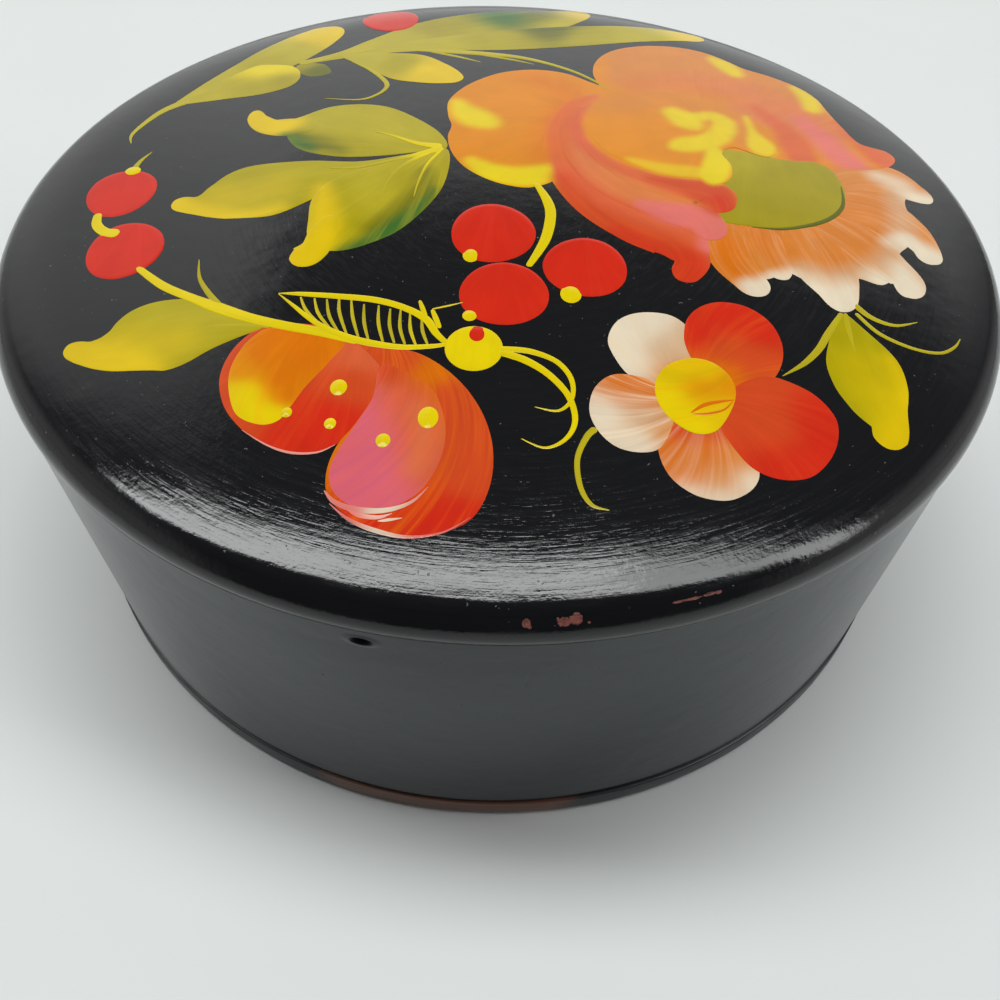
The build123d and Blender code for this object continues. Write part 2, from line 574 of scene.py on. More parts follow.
def worn_base(name):
    """Base lacquer: the wall's black, brown where the attribute "bare" says it is rubbed."""
    settings = lacquer()
    material, n, shader = new_material(name)
    place = n.place()
    fine = n.round_marks(place, 2.0, 14.0, 2.2, 3.0, 0.6)
    patches = n.noise(place[0], 0.16, 3.0, 0.65)
    bare = n.plus(n.attribute("bare").outputs["Fac"], n.span(fine, 0.3, 0.7, -0.15, 0.15))
    brown = n.mottle(fine, settings.worn, 0.6, 1.4)
    black = n.mottle(patches, settings.wall, 0.7, 1.0)
    colour = n.mix(n.span(bare, 0.25, 0.75), black, brown)
    red = n.mottle(patches, settings.red, 0.7, 1.15)
    colour = n.mix(n.attribute("inner").outputs["Fac"], colour, red)
    n.link(colour, shader.inputs["Base Color"])
    n.link(n.span(fine, 0.3, 0.7, 0.3, 0.42), shader.inputs["Roughness"])
    n.link(n.bump(fine, 0.012), shader.inputs["Normal"])
    return material


def oil_paint(name, gloss=0.11):
    """Oil colour under varnish.

    The attribute "tint" is the colour laid down, "streak" is the colour that the bristles
    drag into it and how much of it, and "brush" is millimetres along and across the
    brush's path, so the marks follow each stroke.
    """
    material, n, shader = new_material(name)
    tint = n.attribute("tint").outputs["Color"]
    drag = n.attribute("streak")
    path = n.attribute("brush").outputs["Vector"]
    hairs = n.noise(n.vector("MULTIPLY", path, (0.07, 1.9, 1.0)), 1.0, 3.0, 0.6)
    bands = n.noise(n.vector("MULTIPLY", path, (0.05, 0.6, 1.0)), 1.0, 2.0, 0.5)
    cloud = n.noise(n.vector("MULTIPLY", path, (0.16, 0.2, 1.0)), 1.0, 2.0, 0.5)
    both = n.plus(n.times(hairs, 0.5), n.times(bands, 0.5))
    dry = drag.outputs["Alpha"]
    colour = n.mix(n.times(n.span(both, 0.45, 0.68), dry), tint, drag.outputs["Color"])
    ridges = n.times(n.math("SUBTRACT", both, 0.5), n.plus(n.times(dry, 0.9), 0.08))
    shade = n.plus(n.plus(ridges, 1.0), n.span(cloud, 0.3, 0.7, -0.04, 0.04))
    colour = n.mix(1.0, colour, n.combine(shade, shade, shade), "MULTIPLY")
    n.link(colour, shader.inputs["Base Color"])
    n.link(n.span(both, 0.3, 0.7, gloss * 0.8, gloss * 1.25), shader.inputs["Roughness"])
    shader.inputs["Specular IOR Level"].default_value = 0.22
    n.link(n.bump(both, 0.01), shader.inputs["Normal"])
    return material


def table_top(name, colour):
    """Matt pale table with a barely seen mottle."""
    material, n, shader = new_material(name)
    coordinates = n.add("ShaderNodeTexCoord")
    mottle = n.noise(coordinates.outputs["Object"], 14.0, 4.0, 0.6)
    n.link(n.mottle(mottle, colour, 0.97, 1.02), shader.inputs["Base Color"])
    shader.inputs["Roughness"].default_value = 0.6
    shader.inputs["Specular IOR Level"].default_value = 0.2
    return material


# ---------------------------------------------------------------- lacquered pieces

# Chips along the lid's edge: azimuth, height, half width round, half height, depth, bareness
CHIPS = (
    (-87.10, 54.48, 0.50, 0.40, 0.07, 1.0),
    (-86.80, 54.18, 0.26, 0.20, 0.05, 0.9),
    (-83.95, 54.48, 0.80, 0.42, 0.09, 1.0),
    (-82.95, 54.64, 0.80, 0.52, 0.09, 1.0),
    (-84.45, 54.72, 0.22, 0.16, 0.05, 0.8),
    (-81.90, 54.30, 0.20, 0.14, 0.04, 0.7),
    (-74.0, 54.83, 1.00, 0.10, 0.05, 1.0),
    (-72.7, 54.81, 1.10, 0.12, 0.06, 1.0),
    (-71.2, 54.84, 0.90, 0.14, 0.07, 1.0),
    (-70.4, 54.82, 0.40, 0.18, 0.07, 1.0),
)

# The pit under the lid's edge with the swelling round it, and two small knocks lower down,
# in the same order. The pit's last column says how far it is made rougher and has shade
# painted in as a darker black.
PIT = ((-101.1, 48.85, 1.42, 0.78, 1.6, 1.0),)
PIT_LIP = ((-101.1, 48.85, 2.6, 1.4, 0.16, 0.0),)
KNOCKS = ((-86.65, 42.6, 0.30, 0.26, 0.08, 0.0), (-89.4, 39.9, 0.26, 0.22, 0.08, 0.0))


def dents(x, y, z, spots, radius):
    """Depth and bareness of oval hollows.

    Inside each, the depth is its deepest times (1 - d)^1.5, where d is the squared
    distance from its middle over its half width and half height.
    """
    azimuth = np.degrees(np.arctan2(y, x))
    depth = np.zeros_like(x)
    bare = np.zeros_like(x)
    for centre, height, wide, tall, deep, show in spots:
        round_by = np.radians(azimuth - centre) * radius
        d = (round_by / wide) ** 2 + ((z - height) / tall) ** 2
        depth = np.maximum(depth, deep * np.clip(1 - d, 0, 1) ** 1.5)
        bare = np.maximum(bare, show * np.clip(1.3 - d, 0, 1))
    return depth, bare


def pushed(grid, azimuths, move):
    """The grid moved outwards from the axis by a distance at each point."""
    angle = np.radians(azimuths)[None, :]
    grid[..., 0] += move * np.cos(angle)
    grid[..., 1] += move * np.sin(angle)


def coats(piece, **fields):
    """Store which coat shows at each vertex: 0 or less means the plain black one."""
    count = len(piece.data.vertices)
    for name in ("inner", "bare", "pit"):
        values = np.zeros(count)
        if name in fields:
            values[: fields[name].size] = fields[name].reshape(-1)
        store(piece, name, "FLOAT", values)


DENT_SLANT = 0.7  # a chip in the slanting edge sinks this share of its depth both ways


def rows_from(count, first, last=None):
    """A column that is 1 for the rows from first up to last, and 0 elsewhere."""
    row = np.arange(count)[:, None]
    return ((row >= first) & (row < (count if last is None else last))).astype(float)


def build_rim():
    """Rim of the lid: its upright side and shoulder, chipped along the front edge."""
    joint = PANEL_HIGH[0] + JOINT_GAP
    outside = SECTION[SECTION[:, 0] > joint]
    top = np.interp(joint, UPPER[:, 0], UPPER[:, 1])
    ledge = PANEL_LOW[2]
    bore = RING_HIGH[0] + GLUE_GAP
    inner = between([(joint, top), (joint + 0.01, ledge), (bore, ledge), (bore, SEAM)], 3)
    under = between([(bore, SEAM), (outside[0, 0], SEAM)], 3)[1:-1]
    section = np.vstack([outside, inner, under])
    azimuths = columns(420, -80.0, 36.0, 640)  # closer together where the chips are
    grid = turned_grid(section, azimuths)
    x, y, z = grid[..., 0], grid[..., 1], grid[..., 2]
    depth, bare = dents(x, y, z, CHIPS, LID_RADIUS - 1)
    face = rows_from(len(section), 0, len(outside))
    angle = np.radians(azimuths)[None, :]
    wave = 0.05 * np.sin(3 * angle + 0.6) + 0.03 * np.sin(7 * angle + 2.0) - 0.09
    wave = wave * face * smooth_step((54.5 - z) / 2)
    grid[..., 2] -= DENT_SLANT * depth * face
    pushed(grid, azimuths, wave - DENT_SLANT * depth * face)
    points, faces = ring_mesh(grid)
    material = black_lacquer("black_lacquer_rim", lacquer().black, 0.11, 0.014, 0.024, 0.05)
    piece = make_object("lid_rim_skin", points, faces, "lid", material, ("lid_rim",))
    inside = rows_from(len(section), len(outside) + 3) * np.ones(len(azimuths))
    coats(piece, bare=bare * face, inner=inside)


def build_panel():
    """Domed panel: the crown and brow outside, a shallow dish and a flat band underneath."""
    joint = PANEL_HIGH[0]
    upper = SECTION[SECTION[:, 0] < joint - 0.01]
    upper = np.vstack([[joint, np.interp(joint, UPPER[:, 0], UPPER[:, 1])], upper])[:-1]
    ledge = PANEL_LOW[2]
    dish_top = PANEL_HIGH[2] - PANEL_THICKNESS
    hollow = joint - PANEL_BAND
    rise = dish_top - ledge
    ball = (hollow**2 + rise**2) / (2 * rise)
    dish_radius = np.linspace(0.8, hollow, 26)
    dish = np.c_[dish_radius, dish_top - ball + np.sqrt(ball**2 - dish_radius**2)]
    band = between([(hollow, ledge), (joint - 0.1, ledge), (joint, ledge + 0.1)], 3)
    under = np.vstack([dish, band[1:]])
    edge = between([under[-1], upper[0]], 4)[1:-1]
    section = np.vstack([under, edge, upper])
    azimuths = columns(560)
    grid = turned_grid(section, azimuths)
    x, y = grid[..., 0], grid[..., 1]
    above = rows_from(len(section), len(under) + len(edge))
    grid[..., 2] = np.where(above > 0, lacquer_height(x, y), grid[..., 2])
    high = lacquer_height(np.zeros(1), np.zeros(1))[0]
    points, faces = disc_mesh(grid, (0, 0, dish_top), (0, 0, high))
    _, bare = dents(x, y, grid[..., 2], CHIPS, LID_RADIUS - 1)
    settings = lacquer()
    material = black_lacquer(
        "black_lacquer_lid", settings.black, settings.gloss, settings.marks / MM, 0.024, 0.05,
        (68.0, 72.5, 1.0, 0.4),
    )
    piece = make_object(
        "lid_panel_skin", points, faces, "lid", material, ("lid_panel",)
    )
    below = (1 - above) * np.ones(len(azimuths))
    coats(piece, bare=bare * above, inner=np.r_[below.reshape(-1), 1, 0])


def build_ring():
    """Locating ring under the lid, its lower corners broken."""
    outer, bottom, top = RING_HIGH[0], RING_LOW[2], RING_HIGH[2]
    bore = outer - RING_THICKNESS
    corners = [(bore, bottom), (outer, bottom), (outer, top), (bore, top)]
    section = rounded(corners, (0.7, 1.2, 0, 0), 6)
    section = np.vstack([section[:-1], between([(outer, top), (bore, top)], 2)[1:]])
    points, faces = ring_mesh(turned_grid(section, columns(360)))
    material = red_lacquer("red_lacquer_ring")
    make_object("lid_ring_skin", points, faces, "lid", material, ("lid_ring",))


def build_wall():
    """Wound wall, flaring upwards, with a pit broken into it just under the lid."""
    foot, foot_z, top = BASE_HIGH[0] - BASE_PROUD, WALL_LOW[2], WALL_HIGH[2]
    mouth = foot + WALL_FLARE
    bore = foot - WALL_THICKNESS
    seat_z = top - SEAT_DEPTH
    seat = bore + WALL_FLARE * (seat_z - foot_z) / (top - foot_z) + SEAT_STEP
    corners = [
        (foot, foot_z), (mouth, top), (seat, top), (seat, seat_z), (seat - SEAT_STEP, seat_z),
        (bore, foot_z),
    ]
    outline = rounded(corners, (0.3, 0.25, 0.9, 0.12, 0.2, 0.2), 6)
    low_run = between([outline[5], (mouth - 0.2, top - 4.0)], 46)[1:]
    high_run = between([low_run[-1], outline[6]], 40)[1:-1]
    section = np.vstack([outline[:6], low_run, high_run, outline[6:]])
    azimuths = columns(360, -97.0, 30.0, 440)  # closer together where the pit and knocks are
    grid = turned_grid(section, azimuths)
    x, y, z = grid[..., 0], grid[..., 1], grid[..., 2]
    # broken marks the pit, which the lacquer makes rougher and paints shade into as a darker black
    pit, broken = dents(x, y, z, PIT, mouth)
    knock, bare = dents(x, y, z, KNOCKS, mouth)
    lip, _ = dents(x, y, z, PIT_LIP, mouth)
    first_inside = 6 + len(low_run) + len(high_run) + 8
    face = rows_from(len(section), 0, first_inside)
    angle = np.radians(azimuths)[None, :]
    rise = (z - foot_z) / (top - foot_z)
    wave = 0.1 * np.sin(2 * angle + 0.35) * rise + 0.06 * np.sin(3 * angle + 1.0) - 0.12
    wave = wave + 0.03 * np.sin(5 * angle) * np.sin(z / 9)
    pushed(grid, azimuths, (wave + lip - pit - knock) * face)
    points, faces = ring_mesh(grid)
    material = black_lacquer("black_lacquer_wall", lacquer().wall, 0.2, 0.0, 0.004, 0.06, shine=0.3)
    piece = make_object(
        "body_wall_skin", points, faces, "box", material, ("body_wall",)
    )
    inside = rows_from(len(section), first_inside + 2) * np.ones(len(azimuths))
    coats(piece, bare=bare * face, pit=broken * face, inner=inside)


# Where the base's edge is rubbed brown: middle, half width and fade, in degrees of azimuth
RUBBED_MIDDLE = -95.0
RUBBED_HALF = 19.0
RUBBED_FADE = 9.0


def build_base():
    """Base disc with a rounded edge and a raised middle."""
    edge, height, step = BASE_HIGH[0], BASE_HIGH[2], WALL_LOW[2]
    plug = edge - BASE_PROUD - WALL_THICKNESS - GLUE_GAP
    flat = plug - 30
    corners = [(flat, 0), (edge, 0), (edge, step), (plug, step), (plug, height), (flat, height)]
    section = rounded(corners, (0, 1.3, 0.3, 0.1, 0.8, 0), 7)
    below = between([(1.0, 0), section[0]], 4)[:-1]
    section = np.vstack([below, section, between([section[-1], (1.0, height)], 4)[1:]])
    azimuths = columns(480)
    grid = turned_grid(section, azimuths)
    angle = np.radians(azimuths)[None, :]
    wave = 0.05 * np.sin(4 * angle + 0.5) + 0.03 * np.sin(9 * angle) - 0.08
    radius = np.hypot(grid[..., 0], grid[..., 1])
    pushed(grid, azimuths, wave * smooth_step((radius - plug - 1) / 2))
    points, faces = disc_mesh(grid, (0, 0, 0), (0, 0, height))
    material = worn_base("worn_base_lacquer")
    piece = make_object(
        "base_disc_skin", points, faces, "box", material, ("base_disc",)
    )
    inside = ((radius < plug + 0.3) & (grid[..., 2] > step - 0.1)).astype(float)
    near = smooth_step((RUBBED_HALF - np.abs(azimuths - RUBBED_MIDDLE)) / RUBBED_FADE)
    rubbed = near * smooth_step((radius - plug - 2) / 2)
    coats(piece, inner=np.r_[inside.reshape(-1), 0, 1], bare=rubbed)


# ---------------------------------------------------------------- paint

def catmull(points, t, closed):
    """Smooth curve through given points.

    For the four points round each stretch a, b, c, d and t from 0 to 1 between b and c:
    b + t(c-a)/2 + t^2(a - 5b/2 + 2c - d/2) + t^3(3b - a - 3c + d)/2.
    """
    count = len(points)
    k = np.floor(t).astype(int)
    if closed:
        index = [(k + o) % count for o in (-1, 0, 1, 2)]
    else:
        k = np.minimum(k, count - 2)
        index = [np.clip(k + o, 0, count - 1) for o in (-1, 0, 1, 2)]
    f = (t - k)[:, None]
    a, b, c, d = (points[i] for i in index)
    square = f**2 * (a - 2.5 * b + 2 * c - 0.5 * d)
    cube = f**3 * (1.5 * b - 0.5 * a - 1.5 * c + 0.5 * d)
    return b + f * (c - a) / 2 + square + cube


def dab_colours(x, y, dabs, soft):
    """Colours worked into each other.

    A mean of the dabs, each weighted by 1 / (distance^2 + soft^2)^2.
    """
    total = np.zeros(x.shape + (1,))
    colour = np.zeros(x.shape + (3,))
    for dab_x, dab_y, name in dabs:
        weight = (1 / ((x - dab_x) ** 2 + (y - dab_y) ** 2 + soft**2) ** 2)[..., None]
        colour += weight * palette(name)
        total += weight
    return colour / total


def wash_colours(x, y, ground, washes):
    """Colours laid wet over a ground colour, from the first of the washes to the last.

    A wash is a colour, the width of its soft edge, how much it covers, and a path of x, y
    and half width. Its cover is a smooth step that is a half at the half width.
    """
    where = np.stack([x.ravel(), y.ravel()], -1)
    colour = np.tile(palette(ground), (len(where), 1))
    for name, soft, amount, path in washes:
        path = np.asarray(path, float)
        line = catmull(path, np.linspace(0, len(path) - 1, 12 * len(path)), False)
        away = np.hypot(where[:, :1] - line[:, 0], where[:, 1:] - line[:, 1])
        cover = smooth_step((line[:, 2] - away) / soft + 0.5).max(1)
        colour += amount * cover[:, None] * (palette(name) - colour)
    return colour.reshape(x.shape + (3,))


def paint_colours(x, y, paint, soft):
    """Colours of a stroke: one colour, its own dabs, or a function of the place on the lid."""
    if isinstance(paint, str):
        return np.tile(palette(paint), (len(x), 1))
    return paint(x, y) if callable(paint) else dab_colours(x, y, paint, soft)


def edge_rise(distance, width):
    """Soft edge of a coat: a quarter of a sine wave over the edge's width."""
    return np.sin(np.clip(distance / width, 0, 1) * math.pi / 2)


def oval(x, y, wide, tall, wobble=0.0, turn=0):
    """Twelve points round a dab: an ellipse, times 1 + wobble * sin(3 angle + turn)."""
    angle = np.radians(np.arange(0, 360, 30))
    size = 1 + wobble * np.sin(3 * angle + turn)
    return np.c_[x + wide * size * np.cos(angle), y + tall * size * np.sin(angle)]


class Painting:
    """Strokes gathered into one piece, each a closed thin form lying on the lid.

    A stroke's paint is a colour's name, dabs of x, y and name, or a function of the place.
    Its streak is the colour that the bristles drag in and how much of it. Its level is the
    layer that it lies in.
    """

    def __init__(self, name, seed):
        self.name = name
        self.points, self.faces, self.tints, self.streaks, self.brushes = [], [], [], [], []
        self.count = 0
        self.seed = seed

    def keep(self, points, faces, tint, streak, brush):
        """Add one closed form with its colours and its place along and across the brush."""
        self.points.append(points)
        self.faces += [[i + self.count for i in face] for face in faces]
        self.count += len(points)
        self.tints.append(np.c_[tint, np.ones(len(points))])
        colour = palette(streak[0]) if streak else np.zeros(3)
        amount = streak[1] if streak else 0.0
        self.streaks.append(np.tile(np.r_[colour, amount], (len(points), 1)))
        self.seed += 1
        self.brushes.append(np.c_[brush, np.full(len(points), self.seed * STROKE_SHIFT)])

    def petal(self, outline, paint, level, centre, root=None, streak=None, coat=COAT,
              edge=0.5, soft=2.5, rings=22, around=150, bend=0.0):
        """A filled shape: centre + s * (outline(t) - centre), s from 0 to 1, t round the outline.

        The whole outline is seen from the centre. The bristles' marks fan out from the root,
        turned by the bend for each millimetre.
        """
        outline = np.asarray(outline, float)
        centre = np.asarray(centre if centre is not None else outline.mean(0), float)
        t = np.linspace(0, len(outline), around, endpoint=False)
        rim = catmull(outline, t, True)
        ahead = np.roll(rim, -1, axis=0)
        if np.sum(rim[:, 0] * ahead[:, 1] - rim[:, 1] * ahead[:, 0]) < 0:
            rim = rim[::-1]
        s = np.sin(np.linspace(0, 1, rings + 1)[1:] * math.pi / 2)[:, None, None]
        flat = centre + s * (rim - centre)[None]
        reach = np.hypot(*(rim - centre).T)[None, :]
        rise = edge_rise((1 - s[..., 0]) * reach, edge)
        x, y = flat[..., 0], flat[..., 1]
        lift = level * LEVEL_STEP + coat * rise
        ground = lacquer_height(x, y)
        grid = np.stack([x, y, ground + lift], -1)
        skirt = np.stack([x[-1], y[-1], ground[-1] - BURY], -1)[None]
        grid = np.concatenate([grid, skirt])[::-1]
        middle = lacquer_height(centre[:1], centre[1:])[0]
        points, faces = disc_mesh(
            grid, (*centre, middle - BURY - UNDERSIDE_SAG),
            (*centre, middle + level * LEVEL_STEP + coat),
        )
        root = np.asarray(root if root is not None else centre + (0, 60.0), float)
        away = points[:, :2] - root
        along = np.hypot(*away.T)
        angle = np.arctan2(np.cross((0, -1), away), -away[:, 1])
        across = (angle + bend * along) * np.median(along)
        tint = paint_colours(points[:, 0], points[:, 1], paint, soft)
        self.keep(points, faces, tint, streak, np.c_[along, across])

    def stroke(self, path, paint, level, streak=None, coat=COAT, edge=0.4, soft=2.0,
               steps=90, cross=17):
        """A brush stroke: path(u) + v * half width(u) * normal(u), v from -1 to 1.

        The path's rows are x, y and half width. Within a half width h of an end, at a
        distance d from it, the half width is h * sqrt(1 - (1 - d / h)^2), a round end.
        """
        path = np.asarray(path, float)
        u = (1 - np.cos(np.linspace(0, math.pi, steps))) / 2
        line = catmull(path, u * (len(path) - 1), False)
        step = np.gradient(line[:, :2], axis=0)
        tangent = step / np.hypot(*step.T)[:, None]
        normal = np.c_[-tangent[:, 1], tangent[:, 0]]
        length = np.r_[0, np.cumsum(np.hypot(*np.diff(line[:, :2], axis=0).T))]
        full = np.maximum(line[:, 2], HAIR)
        half = full
        for to_end in (length, length[-1] - length):
            half = half * np.sqrt(1 - (1 - np.clip(to_end / full, 0, 1)) ** 2)
        half = np.maximum(half, TIP)
        v = np.sin(np.linspace(-1, 1, cross) * math.pi / 2)
        flat = line[:, None, :2] + (half[:, None] * v[None])[..., None] * normal[:, None]
        to_end = np.minimum(length, length[-1] - length)[:, None]
        inside = np.minimum((1 - np.abs(v))[None] * half[:, None], to_end)
        rise = edge_rise(inside, np.minimum(edge, half.max() * 0.8))
        x, y = flat[..., 0], flat[..., 1]
        ground = lacquer_height(x, y)
        top = np.stack([x, y, ground + level * LEVEL_STEP + coat * rise], -1)
        low = np.stack([x, y, ground - BURY], -1)[:, ::-1][:, :: cross - 1]
        grid = np.concatenate([top, low], 1)
        rows, count, _ = grid.shape
        points = grid.reshape(-1, 3)
        faces = grid_faces(rows, count)[:, ::-1].tolist()
        faces.append(list(range(count)))
        faces.append(list(range((rows - 1) * count, rows * count))[::-1])
        along = np.repeat(length[:, None], count, 1)
        across = half[:, None] * np.r_[v, 1, -1][None]
        tint = paint_colours(points[:, 0], points[:, 1], paint, soft)
        self.keep(points, faces, tint, streak, np.c_[along.reshape(-1), across.reshape(-1)])

    def dot(self, x, y, wide, tall, colour, level, height):
        """A round dab: an ellipse with a domed top."""
        self.petal(
            oval(x, y, wide, tall), colour, level, (x, y), coat=height, edge=max(wide, tall),
            rings=12, around=48,
        )

    def finish(self, material):
        """Make the piece from the strokes kept so far."""
        points = np.vstack(self.points)
        piece = make_object(self.name, points, self.faces, "lid", material)
        store(piece, "tint", "FLOAT_COLOR", np.vstack(self.tints))
        store(piece, "streak", "FLOAT_COLOR", np.vstack(self.streaks))
        store(piece, "brush", "FLOAT_VECTOR", np.vstack(self.brushes))


def leaf_washes(x, y):
    """Colours of the leaves, worked into each other while wet."""
    return wash_colours(x, y, "leaf", (
        # upper lobe, with its finger and its shaded corner
        ("straw", 6, 0.8, [(-33, 20, 3), (-24, 20.5, 5), (-15, 16, 4)]),
        ("gold", 3.5, 1, [(-42.4, 23, 2), (-40.6, 20, 2.8), (-37.6, 18.4, 2.8), (-34.6, 20, 1.4)]),
        ("moss", 4, 0.75, [(-33.6, 15.6, 1.2), (-30, 12.8, 2.2), (-26, 11, 1.2)]),
        ("green", 3, 0.85, [(-35.6, 15.4, 0.8), (-33.4, 13.6, 1.6), (-31, 11.6, 1)]),
        # middle lobe
        ("straw", 5, 0.7, [(-31, 4.4, 1.6), (-21, 6, 2.4), (-13, 9.6, 2)]),
        ("gold", 6, 0.4, [(-42, -2.5, 3), (-34, 0.5, 3)]),
        ("gold", 4, 0.95, [(-50, -4, 3), (-44, -7.4, 3), (-38, -7.6, 2), (-33, -5, 0.8)]),
        # lower lobe, with its blob and its green edge
        ("straw", 5, 0.8, [(-20, 1, 3.4), (-18, -5, 3)]),
        ("gold", 4, 1, [(-27.4, 0, 1.2), (-26.4, -6, 2.2), (-26, -12, 2.6), (-28, -17, 3.4)]),
        ("moss", 4, 0.7, [(-12, 5, 1), (-12, 0, 1.9), (-14.4, -5, 2.4), (-18.4, -10, 2)]),
        ("green", 3, 0.9,
         [(-22.4, -15.6, 0.9), (-18.6, -13, 1.6), (-14.8, -8.8, 1.8), (-12, -4, 1),
          (-10.4, 0, 0.4)]),
        # leaves at the left and at the right
        ("straw", 5, 0.8, [(-45, -29.5, 2), (-38, -29, 2.4), (-33, -30.4, 1.4)]),
        ("gold", 6, 0.55, [(-48, -34.5, 3), (-42, -34.5, 3)]),
        ("gold", 4, 0.95, [(-57, -36, 2.4), (-50, -37.6, 3.2), (-44, -39.4, 2)]),
        ("gold", 7, 0.45, [(47, -35, 2.5), (47.8, -40, 3)]),
        ("gold", 5, 0.95, [(48, -49.6, 3.4), (50.2, -45, 3), (52, -39, 2), (51.4, -34, 1)]),
    ))


def build_leaves():
    """Leaves: a three-lobed one, one at each side and a spray along the back."""
    p = Painting("painted_leaves", 1)
    grain = ("straw", 0.15)
    # spray along the back
    p.stroke(
        [(-37, 41.6, 0.7), (-30, 45, 1.5), (-23, 49.3, 3.7), (-14, 54, 6.8), (-4, 58.5, 7.4),
         (6, 62.8, 5.8), (12, 66.4, 4), (15.5, 69.6, 2.4)],
        ((-20, 51, "straw"), (-6, 54, "leaf"), (0, 64, "green"), (6, 66, "moss"),
         (10, 61, "straw"), (15, 68, "gold"), (-12, 58, "olive")),
        1, grain, soft=4,
    )
    p.stroke(
        [(-24, 47.6, 1), (-12, 50.3, 3), (0, 52.8, 4.4), (12, 55.6, 4.6), (24, 58.2, 3.8),
         (33, 59, 2.8), (38, 58.4, 1.8)],
        ((-16, 49, "straw"), (0, 51, "leaf"), (8, 59, "moss"), (16, 55, "leaf"), (26, 58, "straw"),
         (36, 59, "gold")),
        2, grain, soft=3,
    )
    p.stroke(
        [(-56, 26, 0.8), (-50.5, 33, 2.6), (-45, 39.5, 4.2), (-41, 45, 4.9), (-37, 51, 4.6),
         (-33.8, 56, 3.4), (-32.6, 58.2, 2.2)],
        ((-50, 33, "straw"), (-43, 43, "leaf"), (-40, 47, "straw"), (-36, 55, "gold"),
         (-33, 58, "gold")),
        1, grain, soft=3,
    )
    p.stroke(
        [(-37.5, 40.8, 1.4), (-34, 38.8, 2.6), (-31.2, 37.8, 1.0)],
        ((-34, 39, "moss"), (-36, 41, "olive")), 0, None, coat=0.012,
    )
    p.stroke(
        [(-55.5, 26.6, 0.5), (-50, 29.8, 2.4), (-45, 33.5, 4.9), (-40.5, 37.2, 5.4),
         (-38, 40, 3.4)],
        ((-52, 29, "straw"), (-44, 31, "leaf"), (-39, 35, "olive"), (-42, 39.5, "yellow"),
         (-39, 40, "yellow")),
        2, grain, soft=2.5,
    )
    p.stroke(
        [(-30, 44.6, 0.6), (-24, 42.8, 3.2), (-18, 40.4, 5.4), (-13, 38, 4.3), (-9.5, 36.5, 2.7),
         (-7.6, 36, 1.9)],
        ((-26, 43, "straw"), (-19, 41, "leaf"), (-14, 39, "gold"), (-9, 36, "gold")), 3, grain,
        soft=2.5,
    )
    p.stroke([(-37.4, 41.4, 0.9), (-33, 43.6, 0.7), (-29, 46, 0.9), (-24, 47.6, 0.5)], "straw", 3)
    # upper lobe of the large leaf
    p.petal(
        [(-9.3, 12), (-10.5, 16.6), (-14.5, 21.2), (-19.5, 25), (-24.5, 26), (-29.5, 25),
         (-33.5, 22), (-36, 19.5), (-35.2, 15), (-33, 11.6), (-29.5, 9.8), (-25, 9), (-19.5, 9.4),
         (-14, 10.6)],
        leaf_washes, 0, (-23, 17), (-6, 11), grain, rings=30, around=200,
    )
    p.stroke(
        [(-41.8, 23.8, 0.8), (-41.0, 20.8, 1.8), (-38.6, 18.4, 2.4), (-35.0, 18.2, 2.8),
         (-31, 19, 2)],
        leaf_washes, 1, grain,
    )
    # middle lobe
    p.stroke(
        [(-49.4, -3.5, 1.9), (-46, -4.4, 2.3), (-42.3, -3.4, 4.9), (-37, -0.6, 7.2),
         (-30, 2.6, 5.4), (-22, 5.2, 2.6), (-15, 8.6, 1.3), (-9.8, 11.6, 0.5)],
        leaf_washes, 1, grain,
    )
    # lower lobe
    p.petal(
        [(-9.3, 11.8), (-8.5, 8), (-9.2, 1), (-11.5, -5), (-15, -10.6), (-19, -13.8),
         (-22.4, -15.4), (-25.4, -15.2), (-27.8, -12.6), (-28.4, -8), (-28.6, -3), (-27, 1.5),
         (-23, 5), (-17, 8), (-12, 10.6)],
        leaf_washes, 2, (-18.5, -2), (-9, 14), ("straw", 0.3), rings=30, around=200,
    )
    p.stroke(
        [(-29.6, -17.8, 2.1), (-27.8, -16.9, 2.5), (-26.3, -14.6, 2.2), (-25.8, -11, 2),
         (-25, -7, 1)],
        leaf_washes, 3, grain,
    )
    for vein in (
        [(-9.8, 12, 0.9), (-13, 10.3, 0.55), (-18, 7.8, 0.38), (-23, 5.8, 0.26), (-27, 5.6, 0.1)],
        [(-11.5, 11, 0.5), (-15, 7.5, 0.34), (-17, 4, 0.26), (-18, 0, 0.18), (-18.2, -3, 0.08)],
        [(-10, 12.4, 0.9), (-14, 13.3, 0.5), (-18, 15.5, 0.26), (-21, 16.8, 0.08)],
        [(-10.2, 11, 0.3), (-12, 7, 0.2), (-13, 2, 0.16), (-13.4, -2, 0.06)],
    ):
        p.stroke(vein, ((-10, 12, "yellow"), (-20, 6, "straw")), 4, steps=50, cross=9)
    # leaf at the left
    p.stroke(
        [(-56, -35.2, 1.4), (-53, -36.4, 2.2), (-49.5, -36, 4.1), (-45, -33.6, 6.8),
         (-40, -31.8, 5.9), (-35, -31.2, 3.1), (-30.5, -31, 0.7)],
        leaf_washes, 1, grain,
    )
    p.stroke(
        [(-42, -33, 0.08), (-38, -31.6, 0.22), (-34, -31.3, 0.3), (-30, -31.5, 0.4)], "straw", 2,
        steps=50, cross=9,
    )
    # leaf at the right
    p.stroke(
        [(47, -25, 0.35), (47, -29, 2.7), (47.4, -34, 4.8), (47.6, -38.5, 4.85), (47.9, -42, 3.9),
         (48.5, -45.4, 2.5), (48, -47.6, 2.2), (47.7, -48.9, 1.9)],
        leaf_washes, 1, grain,
    )
    p.stroke(
        [(47.1, -24.8, 0.3), (46.9, -28, 0.4), (46.8, -32.5, 0.1)], "straw", 2, steps=40, cross=9,
    )
    p.finish(oil_paint("leaf_paint"))


